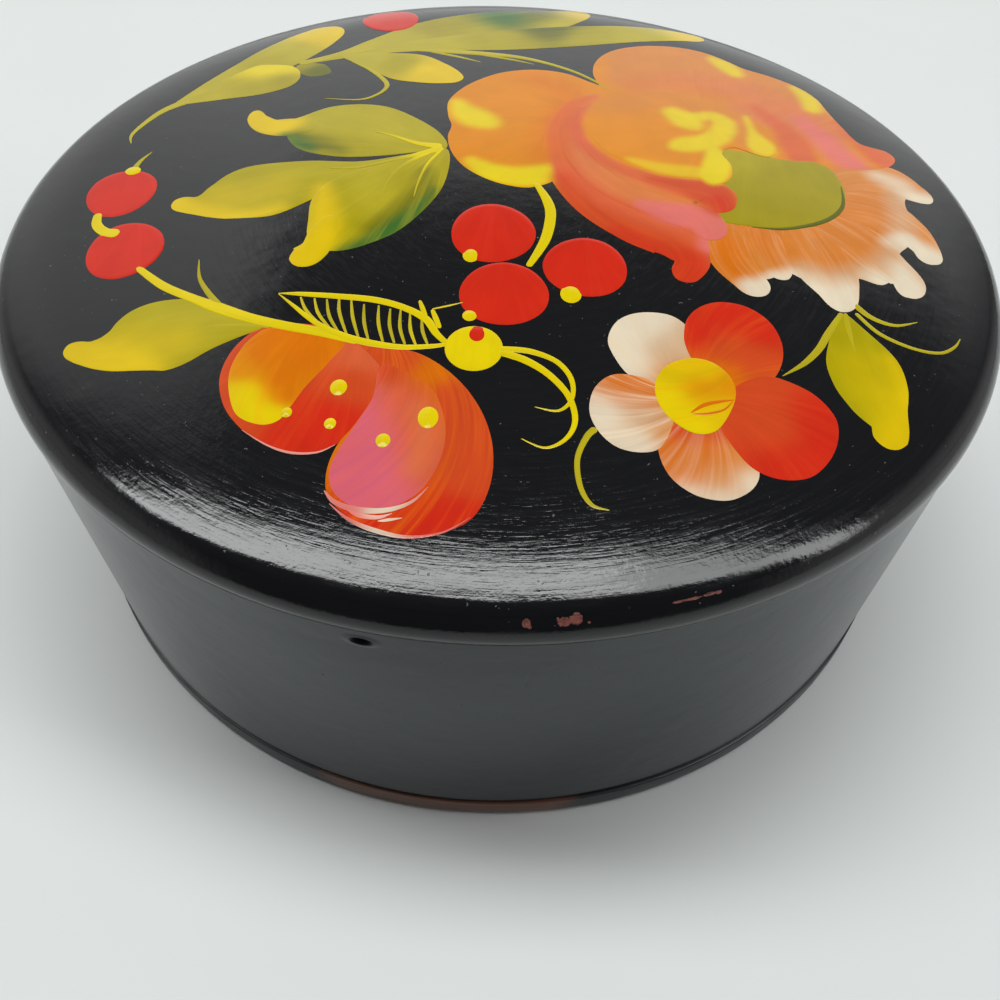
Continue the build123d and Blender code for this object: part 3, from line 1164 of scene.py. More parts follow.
def build_stems():
    """Stems, thorns and curls, each one pull of a thin brush."""
    p = Painting("painted_stems", 40)
    lines = (
        ("yellow", 5,
         [(5.0, 2.4, 0.45), (6.6, -2, 0.75), (7.1, -6, 0.8), (6.2, -12, 0.75), (3.8, -18.2, 0.45)]),
        ("yellow", 3,
         [(-50.8, -19.2, 0.5), (-46, -23.4, 0.7), (-41, -26.2, 0.75), (-38, -27.7, 0.95),
          (-33, -29.9, 0.85), (-28, -31.4, 0.8), (-23, -32.6, 0.8), (-18, -34.2, 0.7)]),
        ("straw", 2,
         [(-42.4, -17.6, 0.06), (-41.5, -21.5, 0.25), (-39.8, -24.5, 0.4), (-37.6, -27.4, 0.5)]),
        ("straw", 3,
         [(12.0, -48.1, 0.5), (10.8, -49.6, 0.4), (9.6, -53, 0.34), (9.8, -57, 0.32),
          (11, -59.6, 0.26), (13, -60.3, 0.06)]),
        ("straw", 2,
         [(46.6, -24.8, 0.3), (44, -29, 0.5), (42, -32.4, 0.5), (39.5, -35.3, 0.38),
          (36.3, -37.8, 0.06)]),
        ("straw", 0,
         [(48.6, -22.4, 0.5), (50.5, -25.2, 0.45), (53.5, -26.6, 0.3), (57, -25.6, 0.06)]),
        ("straw", 0,
         [(48.6, -24.6, 0.3), (51, -28.5, 0.34), (55, -31, 0.3), (58.5, -31.4, 0.26),
          (61, -29.9, 0.2), (62.4, -28, 0.06)]),
        ("straw", 0,
         [(18.2, 33.6, 0.3), (15.5, 37, 0.3), (12, 40.3, 0.36), (7, 43.4, 0.45), (2, 45.4, 0.6),
          (-4, 46.4, 0.8), (-12, 47.2, 0.8), (-18, 47.6, 0.5)]),
        ("straw", 0, [(-14, 46.8, 0.3), (-9, 44.9, 0.35), (-4.6, 42.8, 0.06)]),
        ("straw", 0, [(-5, 46, 0.3), (1, 44.2, 0.3), (5, 42.6, 0.06)]),
        ("straw", 3,
         [(-28, 42.4, 0.2), (-24.6, 39.2, 0.35), (-21.8, 35.6, 0.45), (-20.7, 32.6, 0.4),
          (-22, 29.6, 0.3), (-25, 27.6, 0.24), (-31, 28, 0.06)]),
        ("straw", 0,
         [(-54, 28, 1.0), (-57.5, 24.6, 0.7), (-59.5, 21, 0.5), (-61, 16.5, 0.3),
          (-60.4, 13.6, 0.06)]),
        ("straw", 2, [(-57.8, 5.4, 0.5), (-57.4, 8, 0.35), (-56.2, 10.8, 0.06)]),
        ("yellow", 4,
         [(-60, -6.2, 0.6), (-59.4, -9, 0.75), (-57.6, -10.9, 0.9), (-55.4, -11.3, 1.2)]),
    )
    for colour, level, path in lines:
        p.stroke(path, colour, level, ("straw", 0.5), coat=0.04, edge=0.3, steps=70, cross=9)
    p.finish(oil_paint("stem_paint", 0.14))


def build_berries():
    """Six berries and the yellow dabs on them."""
    p = Painting("painted_berries", 80)
    berries = (
        (-58.0, -0.8, 5.2, 6.2), (-53.6, -15.2, 5.4, 6.5), (-1.3, -10.5, 6.1, 7.0),
        (0.5, -24.0, 6.1, 6.5), (11.8, -17.7, 5.9, 6.5), (-22.7, 61.4, 5.4, 5.6),
    )
    for number, (x, y, wide, tall) in enumerate(berries):
        p.petal(oval(x, y, wide, tall, 0.02, number), "red", number % 3, (x, y), (x, y + 9),
                ("scarlet", 0.1), coat=0.05, edge=0.7, around=120)
    dots = Painting("painted_dots", 120)
    for x, y, wide, tall in (
        (-57.8, 5.2, 1.2, 1.2), (-4.3, -16.0, 1.15, 1.55), (-4.0, -28.8, 0.95, 1.05),
        (9.6, -23.8, 1.45, 1.8),
    ):
        dots.dot(x, y, wide, tall, "yellow", 3, 0.16)
    p.finish(oil_paint("berry_paint", 0.1))
    dots.finish(oil_paint("dot_paint", 0.12))


def petal_washes(x, y):
    """Colours of the large flower's petals and heart, worked into each other while wet."""
    return wash_colours(x, y, "amber", (
        # left petal
        ("orange", 6, 0.55, [(5, 37, 2), (11, 31, 3), (9, 22, 3), (6.5, 12, 2.5), (6, 9, 1)]),
        ("yellow", 3, 1, [(-8.2, 27, 1.2), (-7, 24.2, 2.2), (-5, 22, 2.9), (-2.8, 20.6, 2)]),
        ("yellow", 2.4, 1,
         [(-5, 8.2, 1.2), (-2, 5.3, 2.3), (2, 4.2, 2.7), (6, 4.9, 2.7), (8.6, 6.3, 1.9)]),
        # petal beyond the heart
        ("peach", 5, 1,
         [(20, 40, 4), (23, 45, 7), (30, 47, 8), (38, 44, 7), (46, 39, 7), (52, 33, 5),
          (54, 26, 4)]),
        ("salmon", 7, 0.75, [(24, 36, 3), (33, 38, 4.5), (42, 36, 4.5), (49, 32, 3)]),
        ("salmon", 4, 1, [(42, 29, 4), (49, 28, 5), (55, 23, 3)]),
        ("amber", 3, 0.8, [(16, 34, 1.6), (16.2, 40, 1.5), (18, 46, 0.8)]),
        ("yellow", 2.4, 0.9, [(38.2, 48.8, 0.9), (40.4, 46, 1.9), (41.7, 43.2, 1.4)]),
        ("yellow", 2.4, 0.9, [(51.8, 39, 0.8), (53.5, 35.4, 1.7), (53.6, 31.6, 1.6)]),
        ("blush", 3.5, 0.9, [(50.5, 27, 1.2), (53, 21, 2.4), (55.5, 15, 2.8), (57.5, 12, 2)]),
        ("coral", 2.5, 0.9, [(56.8, 27, 0.6), (59, 21, 1.2), (62, 16.8, 2.8), (63.5, 13.5, 2)]),
        ("coral", 2.6, 0.9, [(43, 30, 1), (46.5, 24, 1.8), (48, 18.5, 2.8), (48.4, 14, 2.4)]),
        # sweep round the heart
        ("coral", 1.8, 1,
         [(15.5, 31, 0.6), (12.4, 27.5, 1.8), (10.6, 20, 3.3), (10.6, 12, 3.4), (11.8, 5, 4),
          (15, -1.5, 4.8), (20.5, -6.6, 4.8), (25.4, -11, 5), (27, -16, 4), (25.4, -19, 3)]),
        ("orange", 5, 0.4, [(11.5, 27, 2), (9.5, 20, 3), (9.5, 12, 3)]),
        ("scarlet", 4, 1,
         [(9, 4, 1.6), (12, -3.6, 2.6), (18, -9.5, 3.2), (24, -13, 3.4), (26, -18, 3.4)]),
        ("red", 4, 0.6, [(17, -9.5, 1.6), (23, -14, 2.4), (27, -16, 3), (25.5, -19, 3)]),
        ("salmon", 3, 0.9,
         [(12.6, 17, 1.2), (13.4, 9.5, 2.3), (17.8, 3.2, 3), (23.2, -0.4, 3.2), (27, -2.5, 2.4)]),
        ("blush", 2.2, 0.95,
         [(21, -2, 1.2), (25.5, -4, 2.7), (29.6, -5, 3.2), (31, -8.5, 2.5), (30, -11.6, 1.6)]),
        ("coral", 1.8, 0.9,
         [(14, 27.5, 0.6), (12, 21, 1.3), (13, 14.5, 1.6), (17, 9.3, 1.8), (22, 6, 2.2),
          (27, 3.6, 2.8), (31, 2.6, 3.4)]),
        ("scarlet", 3, 0.9, [(23, 5, 0.8), (28, 3.8, 2), (32, 2, 3.8), (33, -1, 3)]),
        ("red", 3, 0.7, [(33, 0, 1.6), (33.4, -2, 1.4)]),
        # heart
        ("amber", 1.8, 1, [(21.4, 21.5, 8.6), (27, 19.5, 13.2), (33, 19, 11), (35.5, 18, 9)]),
        ("peach", 8, 0.65, [(17, 28, 3), (27, 31, 4), (38, 27, 4)]),
        ("peach", 4, 0.6, [(39, 24, 2), (40.4, 18, 2)]),
        ("yellow", 2.4, 0.9, [(28.5, 26.5, 1.8), (30.5, 24, 2.6), (31.8, 22, 1)]),
        ("yellow", 2, 0.9,
         [(32, 25.2, 1.3), (35, 26, 1.5), (36.8, 23.6, 2), (35.4, 19.5, 2.2), (32.5, 17, 2.3),
          (29.5, 16, 2.2), (27.8, 15.2, 1.2)]),
        ("yellow", 1.6, 0.85,
         [(41, 26.5, 0.4), (41.3, 21.5, 0.8), (42, 17.2, 2.2), (42.4, 15.6, 1.8)]),
        ("gold", 2, 0.8, [(20, 10.4, 0.6), (25, 8.2, 1.6), (30, 7.6, 1.8)]),
        ("yellow", 1.5, 1, [(34, 14.5, 1.2), (34, 10.8, 2.2), (33, 7.2, 2.2), (32.6, 5.8, 1.4)]),
    ))


def fringe_washes(x, y):
    """Colours of the fringe: orange at its left, peach towards the oval and cream at its tips."""
    return wash_colours(x, y, "peach", (
        ("orange", 8, 0.35, [(34, -8, 6), (46, -10, 7), (57, 0, 6)]),
        ("orange", 4, 0.9, [(31.5, -8, 2), (32, -13, 3), (33, -17, 2)]),
        ("orange", 5, 0.45, [(38, -8, 2.5), (39, -13, 1.5)]),
        ("shell", 4, 0.6, [(43, -16, 2), (48, -17, 2), (55, -13, 2), (60, -5, 2), (62, 6, 2)]),
        ("cream", 3, 0.95, [(35, -20.6, 2), (36.6, -21.4, 3), (38.4, -19.2, 2)]),
        ("cream", 3, 0.8, [(39.6, -18, 1.6), (41.2, -17, 1.2)]),
        ("cream", 5, 1, [(43.5, -19.6, 2.4), (46.5, -22.5, 4), (48.8, -19.6, 2)]),
        ("cream", 4.5, 1, [(53.5, -17, 2), (57, -19, 3.6), (57.6, -14, 1.6)]),
        ("cream", 4, 1, [(60.2, -7.6, 1.8), (62.6, -11.5, 3.4)]),
        ("cream", 3, 0.6, [(57.5, -7.6, 1.2), (60, -6.6, 1.6)]),
        ("cream", 4, 0.95, [(64.6, 5, 2), (67.4, 3.6, 3)]),
        ("cream", 4, 0.7, [(60, 10.5, 1.6), (63, 8.5, 2)]),
    ))


def build_rose():
    """The large flower: petals behind, its curled heart, the olive oval and the fringe."""
    back = Painting("painted_rose_petals", 200)
    dry = ("peach", 0.12)
    back.petal(
        [(5, 40.4), (10, 39.6), (14, 37), (18, 33), (19, 25), (16, 16), (12, 10), (9.3, 7),
         (7.5, 3.2), (4, 1.3), (0.5, 1.8), (-3, 3.6), (-6.3, 6.8), (-8.4, 11), (-9.2, 15.5),
         (-8.8, 19.2), (-9.5, 22.5), (-9.7, 27.5), (-7.5, 32.5), (-4, 36.5), (0, 39.2)],
        petal_washes, 0, (3, 20), (14, 24), ("orange", 0.15), rings=30, around=220,
    )
    back.petal(
        [(16.4, 35), (15.5, 41), (17, 46.5), (20.5, 50.5), (26, 52.8), (32, 53), (37, 51.3),
         (41, 48), (43.5, 45.5), (48, 43), (52.5, 39.5), (55, 35.5), (56, 31), (57.3, 26),
         (59.3, 20.5), (63.4, 18.6), (64.2, 15.8), (61, 12.6), (54, 11.5), (44, 12), (30, 14),
         (20, 24)],
        petal_washes, 1, (34, 24), (34, 14), dry, rings=40, around=260,
    )
    back.stroke(
        [(16, 31.5, 1.2), (11.6, 25, 3.0), (9.8, 16, 3.4), (10.6, 7, 4.0), (14.6, -1.4, 4.6),
         (20, -7.6, 4.4), (25, -10.4, 4.8), (27, -15.0, 2.8), (26, -18.0, 2.2), (24.8, -19.8, 1.9)],
        petal_washes, 2, ("orange", 0.12), steps=130, cross=21,
    )
    back.stroke(
        [(12.4, 27, 0.8), (11.0, 19.5, 2.0), (12.6, 11.4, 3.1), (16.4, 4.6, 3.8), (21.6, 0, 4.0),
         (27, -2.8, 4.4), (30.0, -6.6, 3.3), (30.4, -10.2, 2.2)],
        petal_washes, 4, dry, steps=130, cross=21,
    )
    back.stroke(
        [(13.8, 27, 0.6), (12.9, 20, 1.4), (15.2, 12.4, 2.0), (20.2, 6.0, 2.5), (26, 3.2, 3.0),
         (31, 1.6, 4.4), (32.2, -0.6, 3.6), (32.2, -3.2, 2.4)],
        petal_washes, 5, dry, steps=120, cross=19,
    )
    back.finish(oil_paint("rose_petal_paint"))

    heart = Painting("painted_rose_heart", 240)
    heart.petal(
        [(13, 22), (14.2, 28), (18, 32.4), (24, 34), (31, 33.2), (37, 31), (41, 28), (43.9, 23),
         (44.6, 17), (43, 13.8), (40.4, 14.4), (37.4, 16), (35.2, 14), (36.2, 10.4), (35.6, 6.6),
         (33, 4.4), (30.4, 5.8), (26, 6), (21.5, 8), (17, 11.6), (14, 16.5)],
        petal_washes, 6, (29, 24), (34, 22), dry, rings=36, around=220,
    )
    heart.petal(
        [(33.2, 13.4), (35.2, 15), (38.6, 15), (42, 13.9), (46.5, 13.1), (50, 13.2), (52.5, 11),
         (53.4, 6), (52.5, 1.4), (49.5, -2.6), (45, -5.1), (40, -6.3), (36, -6), (32.6, -5.2),
         (32, -2.4), (33, 0.6), (33.2, 6), (33, 10)],
        ((43, 6, "olive"), (38, 12, "leaf"), (38, -2, "olive"), (50, 10, "olive"),
         (46, 2, "olive")),
        3, (43.5, 4.5), (43, 30), ("straw", 0.06), soft=2,
    )
    heart.stroke(
        [(53.1, 6.5, 0.1), (52.1, 0.8, 0.34), (48.6, -3.4, 0.42), (42.5, -6.1, 0.34),
         (37, -6.3, 0.1)],
        "moss", 4, steps=60, cross=9,
    )
    heart.finish(oil_paint("rose_heart_paint"))

    fringe = Painting("painted_rose_fringe", 280)
    white = ("cream", 0.14)
    fringe.petal(
        [(53, 12), (60, 12.5), (64, 8), (62.5, 3), (62.3, -2), (60.6, -7.5), (58.2, -10.5),
         (57.2, -14.5), (54, -18), (50.5, -17), (48.5, -19.5), (45, -20), (42.5, -18),
         (40.5, -16.8), (37.5, -18.4), (34, -19), (31, -16), (29.6, -12), (31.5, -7.5),
         (33.5, -4.5), (40, -1), (50, 4)],
        fringe_washes, 0, (51, -3.5), (43, 6), white, rings=30, around=220,
    )
    for level, path in (
        (0.6, [(51, 7, 3), (56, 9.6, 4), (61, 9.4, 4.4), (64.9, 6.4, 2.8), (67, 4, 1.8)]),
        (1.2, [(50, 1, 3), (56.5, 0, 5), (60.6, -4, 3.8), (62.6, -8.6, 2.3), (62.5, -12.4, 1.8)]),
        (1.8, [(48, -3, 3), (52.4, -8, 4.4), (55.4, -13, 3.6), (57.8, -17.2, 2.5),
               (56.7, -20.4, 1.8)]),
        (1.2, [(32.5, -5, 2.2), (32.2, -10, 3.2), (33, -15, 3.2), (34.9, -19.4, 2.5),
               (36.3, -22.2, 2.1)]),
        (1.8, [(38, -6, 2.4), (38.2, -10.5, 3), (39, -15, 2.6), (40, -18.4, 1.2)]),
        (2.4, [(44, -5, 3), (45.4, -11, 4.4), (46.4, -16.5, 4.4), (47, -21, 2.9),
               (46.8, -24.6, 1.6)]),
    ):
        fringe.stroke(path, fringe_washes, level, white, cross=21)
    fringe.finish(oil_paint("rose_fringe_paint"))


def build_small_flower():
    """Five petals and a yellow heart, each petal one turn of a loaded brush."""
    p = Painting("painted_small_flower", 320)
    core = (25, -42)
    p.petal(
        [(20, -26.8), (23, -27.3), (25, -29.5), (25.8, -33), (25.2, -37), (22.5, -39.6),
         (19.5, -40.8), (16.5, -38.8), (14.8, -35.5), (14.2, -32.5), (15.3, -29.3), (17.3, -27.5)],
        ((17.5, -31, "cream"), (23, -38, "peach"), (25, -32, "shell"), (22, -34, "shell"),
         (16.5, -36, "cream"), (20, -28.5, "cream")),
        0, None, core, ("shell", 0.2), bend=0.02,
    )
    p.petal(
        [(27, -25.3), (30, -24), (33.5, -24.7), (36.2, -27.5), (37.2, -31.5), (36.6, -35.5),
         (34.5, -39), (31, -40.8), (27, -40), (25, -36), (24.2, -32), (25, -28)],
        ((30, -26, "red"), (35, -29, "red"), (26, -30, "red"), (30, -34, "scarlet"),
         (29, -38, "orange"), (33, -36, "scarlet")),
        1, None, core, ("orange", 0.3), bend=0.02,
    )
    p.petal(
        [(20, -40), (21.8, -43.5), (21.6, -46.5), (19.8, -50.5), (17.5, -51.6), (14.5, -51),
         (12.3, -48.6), (11.3, -45.3), (12, -41.6), (14, -39.2), (16.5, -38.8)],
        ((16, -41, "orange"), (19, -42, "orange"), (13, -46, "cream"), (17, -50, "cream"),
         (18, -46, "shell"), (20, -48, "peach")),
        1, None, core, ("cream", 0.5), bend=0.03,
    )
    p.petal(
        [(21, -45.5), (24, -46.5), (28, -46), (29.8, -50), (31, -53.5), (30, -56.2), (27.5, -58),
         (25, -58.2), (22.5, -57.3), (20.3, -55), (19.3, -51.5), (19.8, -48)],
        ((22.5, -48, "scarlet"), (26.5, -47.6, "scarlet"), (22, -51.5, "orange"),
         (26, -52, "orange"), (20, -54, "orange"), (29.5, -51.5, "peach"), (22.6, -54.4, "orange"),
         (26, -54.6, "peach"), (30, -55.6, "cream"), (26, -58.6, "cream"), (22, -57.6, "cream")),
        0, None, core, ("cream", 0.2), bend=0.02,
    )
    p.petal(
        [(30.5, -39.6), (34, -38), (37, -38.8), (40, -41), (41.8, -44.5), (41.5, -48),
         (39.8, -51.5), (37, -54.2), (33.5, -54.8), (30.5, -53.5), (28.5, -50.5), (27.3, -47),
         (27.6, -43)],
        ((31, -44, "scarlet"), (39, -45, "red"), (35, -53, "red"), (40, -49, "red"),
         (34, -46, "scarlet"), (30, -42, "scarlet"), (33, -40, "scarlet")),
        2, None, core, ("scarlet", 0.3), bend=0.02,
    )
    p.petal(
        [(19.8, -40), (21.5, -37), (24.5, -35.4), (27.5, -36), (29.5, -38.5), (29.8, -41.5),
         (28.5, -45), (26.5, -47.8), (24, -48.3), (21.5, -46.5), (19.9, -43.5)],
        ((21, -42, "yellow"), (24, -47, "yellow"), (26.4, -37.6, "gold"), (29, -40, "amber"),
         (25.6, -40.6, "amber"), (23, -38, "gold"), (27, -44.6, "gold")),
        4, None, (31, -34), ("amber", 0.4), coat=0.04, bend=0.05,
    )
    p.stroke(
        [(23.8, -45.0, 0.08), (25.6, -43.6, 0.3), (27.6, -42.9, 0.24), (29.4, -42.5, 0.08)],
        "orange", 8, coat=0.03, steps=50, cross=9,
    )
    p.stroke(
        [(24.0, -45.2, 0.08), (26, -45.0, 0.2), (28, -44.2, 0.14), (29.2, -42.8, 0.06)], "orange",
        8, coat=0.03, steps=50, cross=9,
    )
    p.finish(oil_paint("small_flower_paint"))


def pink_wing_washes(x, y):
    """Colours of the wing's pink patch: warm along its right side and at its root."""
    return wash_colours(x, y, "pink", (
        ("coral", 6, 0.9, [(-13.6, -41, 2.6), (-10, -44, 4.4), (-7.4, -50, 4.6), (-7.4, -56, 2.8)]),
        ("scarlet", 5, 0.8,
         [(-15.4, -37.5, 1.4), (-12, -39, 2.4), (-7.6, -41.6, 2), (-5.4, -46, 1)]),
        ("salmon", 4, 0.6, [(-9.4, -46, 0.8), (-8.6, -51, 1), (-9.4, -55, 0.8)]),
        ("orange", 5, 0.8,
         [(-12, -38.4, 1.4), (-8.8, -40.6, 2), (-6.2, -44.4, 1.6), (-5.4, -50, 0.8)]),
        ("scarlet", 4, 0.9, [(-16, -38, 1.2), (-13.6, -39.4, 1.8)]),
    ))


def build_butterfly():
    """Butterfly: two wings with raised dots, a round head, a laddered body and feelers."""
    wings = Painting("painted_wings", 400)
    wings.petal(
        [(-30, -31), (-24, -31.2), (-19, -33.4), (-15.6, -36), (-14.2, -40), (-14.8, -44),
         (-16.8, -48.5), (-19, -51.8), (-21.5, -53), (-24.5, -53), (-28, -51.5), (-31, -49),
         (-33.5, -45.5), (-34.8, -41), (-34.3, -36.5), (-32.5, -33)],
        ((-33.8, -42, "scarlet"), (-31, -48, "scarlet"), (-18, -42, "scarlet"), (-24, -51, "red"),
         (-20, -48, "red"), (-17, -37, "coral"), (-19, -51, "red")),
        0, None, (-18, -30), ("orange", 0.12), soft=2, rings=28, around=190,
    )
    wings.petal(
        [(-30, -31.8), (-25, -31.8), (-20, -34), (-21.4, -38), (-23.8, -42.5), (-25.3, -46.2),
         (-26.4, -48.2), (-28.5, -48.8), (-31.5, -47.3), (-33.2, -43.5), (-33.8, -39.5),
         (-33, -35.5), (-31.6, -33)],
        ((-27, -34, "orange"), (-30, -37, "orange"), (-24, -37, "orange"), (-27, -41, "orange"),
         (-31.5, -44, "yellow"), (-29, -47, "yellow"), (-27, -47.5, "yellow"),
         (-32.5, -39, "amber"), (-26, -44, "orange")),
        1, None, (-22, -28), ("amber", 0.25), soft=1.8, rings=26, around=170, bend=-0.02,
    )
    wings.petal(
        [(-18, -34.5), (-14, -35), (-10, -36.3), (-6.5, -39), (-3.5, -42.8), (-1.3, -47.5),
         (-0.3, -52.5), (-0.6, -57.5), (-2.3, -61.8), (-5.5, -64), (-9.5, -64.8), (-13, -64),
         (-16, -62.4), (-18.8, -59.5), (-19.5, -56), (-18.8, -52), (-17, -48.5), (-15.3, -44),
         (-14.7, -39.5), (-16.5, -36.5)],
        ((-3, -47, "scarlet"), (-4.5, -52, "scarlet"), (-8, -40, "orange"), (-3, -57, "scarlet"),
         (-4, -61, "red"), (-9, -63, "red"), (-15, -62, "red"), (-13, -38, "scarlet"),
         (-18, -54, "orange"), (-1.5, -52, "scarlet"), (-6, -43, "scarlet")),
        2, (-6.5, -44), (-16, -31), ("orange", 0.5), soft=2.2, rings=30, around=210, bend=0.03,
    )
    wings.petal(
        [(-14.9, -38.6), (-12.4, -39), (-8.4, -42), (-6.6, -46), (-6, -50.5), (-6.8, -55),
         (-8.8, -58.8), (-12, -60.9), (-15.5, -60.9), (-18.2, -59), (-19.2, -56), (-18.5, -52.5),
         (-16.9, -48.5), (-15.3, -44)],
        pink_wing_washes, 3, (-12.4, -50.5), (-15, -32), ("coral", 0.4), rings=26, around=170,
        bend=0.04,
    )
    # Pale blush and cream lines along the wings' lower edges: partly a pale smear of paint, partly
    # painted highlight standing in for the lamp's glint on the paint's edges
    for level, path in (
        (6, [(-19.4, -58.6, 0.08), (-18, -60.2, 0.3), (-15.4, -61.2, 0.42), (-12.2, -61.2, 0.34),
             (-9.4, -60, 0.2), (-7.6, -57.8, 0.03)]),
        (6, [(-16.8, -60.9, 0.05), (-15.2, -61.9, 0.3), (-13, -62.2, 0.26), (-11.4, -61.6, 0.04)]),
        (5, [(-18.6, -60.4, 0.04), (-16.2, -62.5, 0.2), (-13.2, -63.9, 0.3), (-9.5, -64.7, 0.2),
             (-5.6, -64, 0.12), (-2.6, -61.9, 0.03)]),
        (5, [(-12.9, -62.7, 0.06), (-11.8, -62.5, 0.2), (-10.2, -62.2, 0.04)]),
        (3, [(-30.4, -49.7, 0.03), (-27, -52, 0.12), (-24, -53.1, 0.18), (-21, -53, 0.13),
             (-19, -51.8, 0.03)]),
    ):
        wings.stroke(
            path, ((-16, -62, "blush"), (-13, -62, "cream"), (-7, -63, "blush")), level,
            ("blush", 0.5), steps=70, cross=9,
        )
    wings.finish(oil_paint("wing_paint", 0.12))

    body = Painting("painted_butterfly_body", 440)
    body.petal(
        oval(-3.2, -35, 3.75, 4.15), "yellow", 4, (-3.2, -35), streak=("gold", 0.25), coat=0.07,
        edge=0.8, around=110,
    )
    body.stroke(
        [(-30, -24.9, 0.06), (-27, -25, 0.42), (-22, -25.4, 0.55), (-17, -26, 0.6),
         (-13, -27.4, 0.58), (-9.8, -29.6, 0.6), (-8.2, -32.4, 0.5), (-6.6, -34.4, 0.4)],
        "yellow", 3, ("straw", 0.5), 0.05, 0.3,
    )
    body.stroke(
        [(-30, -25, 0.06), (-27.5, -27.5, 0.28), (-25, -30, 0.4), (-22, -32.3, 0.55),
         (-18, -34.1, 0.62), (-13, -35.1, 0.5), (-9, -34.9, 0.42), (-6.6, -34.4, 0.3)],
        "yellow", 4, ("straw", 0.5), 0.05, 0.3,
    )
    rungs = (
        ((-26.9, -25.6), (-25.7, -28.4), (-22.8, -32.0)),
        ((-25.0, -25.8), (-24.0, -29.0), (-21.6, -32.6)),
        ((-23.3, -26.0), (-22.5, -29.5), (-20.6, -33.1)),
        ((-21.7, -25.2), (-21.3, -28.6), (-19.8, -33.0)),
        ((-20.0, -26.0), (-19.4, -29.6), (-18.2, -33.6)),
        ((-18.2, -26.9), (-17.8, -30.5), (-16.9, -33.9)),
        ((-16.2, -27.1), (-15.9, -30.6), (-15.0, -34.2)),
        ((-14.6, -27.7), (-14.4, -31.0), (-13.5, -34.4)),
        ((-13.2, -27.9), (-13.0, -31.4), (-12.1, -34.6)),
        ((-11.9, -28.6), (-11.6, -31.8), (-10.7, -34.7)),
        ((-10.3, -29.4), (-10.0, -32.0), (-9.2, -34.5)),
    )
    for start, middle, end in rungs:
        body.stroke(
            [(*start, 0.12), (*middle, 0.24), (*end, 0.16)], "straw", 2, ("yellow", 0.5), 0.04, 0.2,
            steps=36, cross=9,
        )
    for spur in (
        [(-10.8, -26.0, 0.2), (-10.3, -27.6, 0.34), (-9.8, -29.2, 0.3)],
        [(-9.0, -27.8, 0.25), (-8.4, -29.6, 0.38), (-7.8, -31.4, 0.3)],
        [(-9.0, -27.7, 0.12), (-7, -27.0, 0.16), (-5, -26.2, 0.05)],
        [(0.2, -35, 0.5), (4, -35.3, 0.5), (7.4, -37, 0.4), (9.2, -40, 0.34), (9.2, -43.4, 0.28),
         (7.5, -45.5, 0.2), (4.6, -45.0, 0.05)],
        [(0.2, -35.6, 0.6), (3.5, -37, 0.6), (6.5, -39.5, 0.5), (8.8, -43, 0.42), (9.5, -47, 0.36),
         (8.3, -50, 0.28), (5.8, -51.5, 0.18), (3, -50.2, 0.05)],
    ):
        body.stroke(spur, "yellow", 5, ("straw", 0.5), 0.05, 0.3, steps=60, cross=9)
    dots = Painting("painted_butterfly_dots", 500)
    for x, y, wide, tall in (
        (-19.7, -42.5, 1.05, 1.35), (-20.0, -48.5, 0.72, 0.88), (-8.3, -47.2, 1.25, 1.75),
        (-13.4, -51.0, 0.88, 1.08), (-25.5, -46.8, 0.66, 0.82),
    ):
        dots.dot(x, y, wide, tall, "yellow", 4, 0.22)
    dots.dot(-2.9, -32.5, 1.3, 1.6, "red", 6, 0.16)
    body.finish(oil_paint("butterfly_paint", 0.14))
    dots.finish(oil_paint("raised_dot_paint", 0.12))


# ---------------------------------------------------------------- stage

# Camera: place in millimetres, then how far it is turned, tipped down and rolled, in radians
CAMERA_PLACE = (0.0, -128.737, 140.825)
CAMERA_PAN = -0.00581
CAMERA_TILT = 0.87701
CAMERA_ROLL = -0.02827
SENSOR = 36.0           # its width in millimetres

TABLE_REACH = 1800.0    # from the middle of the table to its sides
TABLE_CELLS = 12
LAMP_TINT = (0.97, 1.0, 0.99)


def turned_about(vector, axis, angle):
    """A vector turned about an axis: v cos + (axis x v) sin + axis (axis . v)(1 - cos)."""
    return (
        vector * math.cos(angle) + np.cross(axis, vector) * math.sin(angle)
        + axis * np.dot(axis, vector) * (1 - math.cos(angle))
    )


def build_camera():
    """Camera at the photograph's place: it looks along +Y, tipped down, panned and rolled."""
    ahead = np.array([0, math.cos(CAMERA_TILT), -math.sin(CAMERA_TILT)])
    right = np.array([1.0, 0, 0])
    up = np.cross(right, ahead)
    ahead, right = turned_about(ahead, up, CAMERA_PAN), turned_about(right, up, CAMERA_PAN)
    right, up = turned_about(right, ahead, CAMERA_ROLL), turned_about(up, ahead, CAMERA_ROLL)
    data = bpy.data.cameras.new("camera")
    data.sensor_width = SENSOR
    data.lens = bpy.context.scene.lacquer_box_stage.lens
    data.clip_start = 0.01
    camera = bpy.data.objects.new("camera", data)
    turn = np.eye(4)
    turn[:3, 0], turn[:3, 1], turn[:3, 2] = right, up, -ahead
    turn[:3, 3] = np.array(CAMERA_PLACE) * MM
    camera.matrix_world = Matrix(turn.tolist())
    bpy.context.scene.collection.objects.link(camera)
    bpy.context.scene.camera = camera


def build_lamp(name, start, end, width, radiance):
    """A flat strip lamp that faces down, from one end to the other, in metres.

    A flat lamp of power P and area A shines with P / (pi A) in every direction.
    """
    start, end = np.array(start, float), np.array(end, float)
    along = end - start
    length = float(np.linalg.norm(along))
    data = bpy.data.lights.new(name, "AREA")
    data.shape = "RECTANGLE"
    data.size, data.size_y = length, width
    data.energy = radiance * math.pi * length * width
    data.color = LAMP_TINT
    lamp = bpy.data.objects.new(name, data)
    along /= length
    turn = np.eye(4)
    turn[:3, 0], turn[:3, 1], turn[:3, 3] = along, np.cross((0, 0, 1), along), (start + end) / 2
    lamp.matrix_world = Matrix(turn.tolist())
    bpy.context.scene.collection.objects.link(lamp)


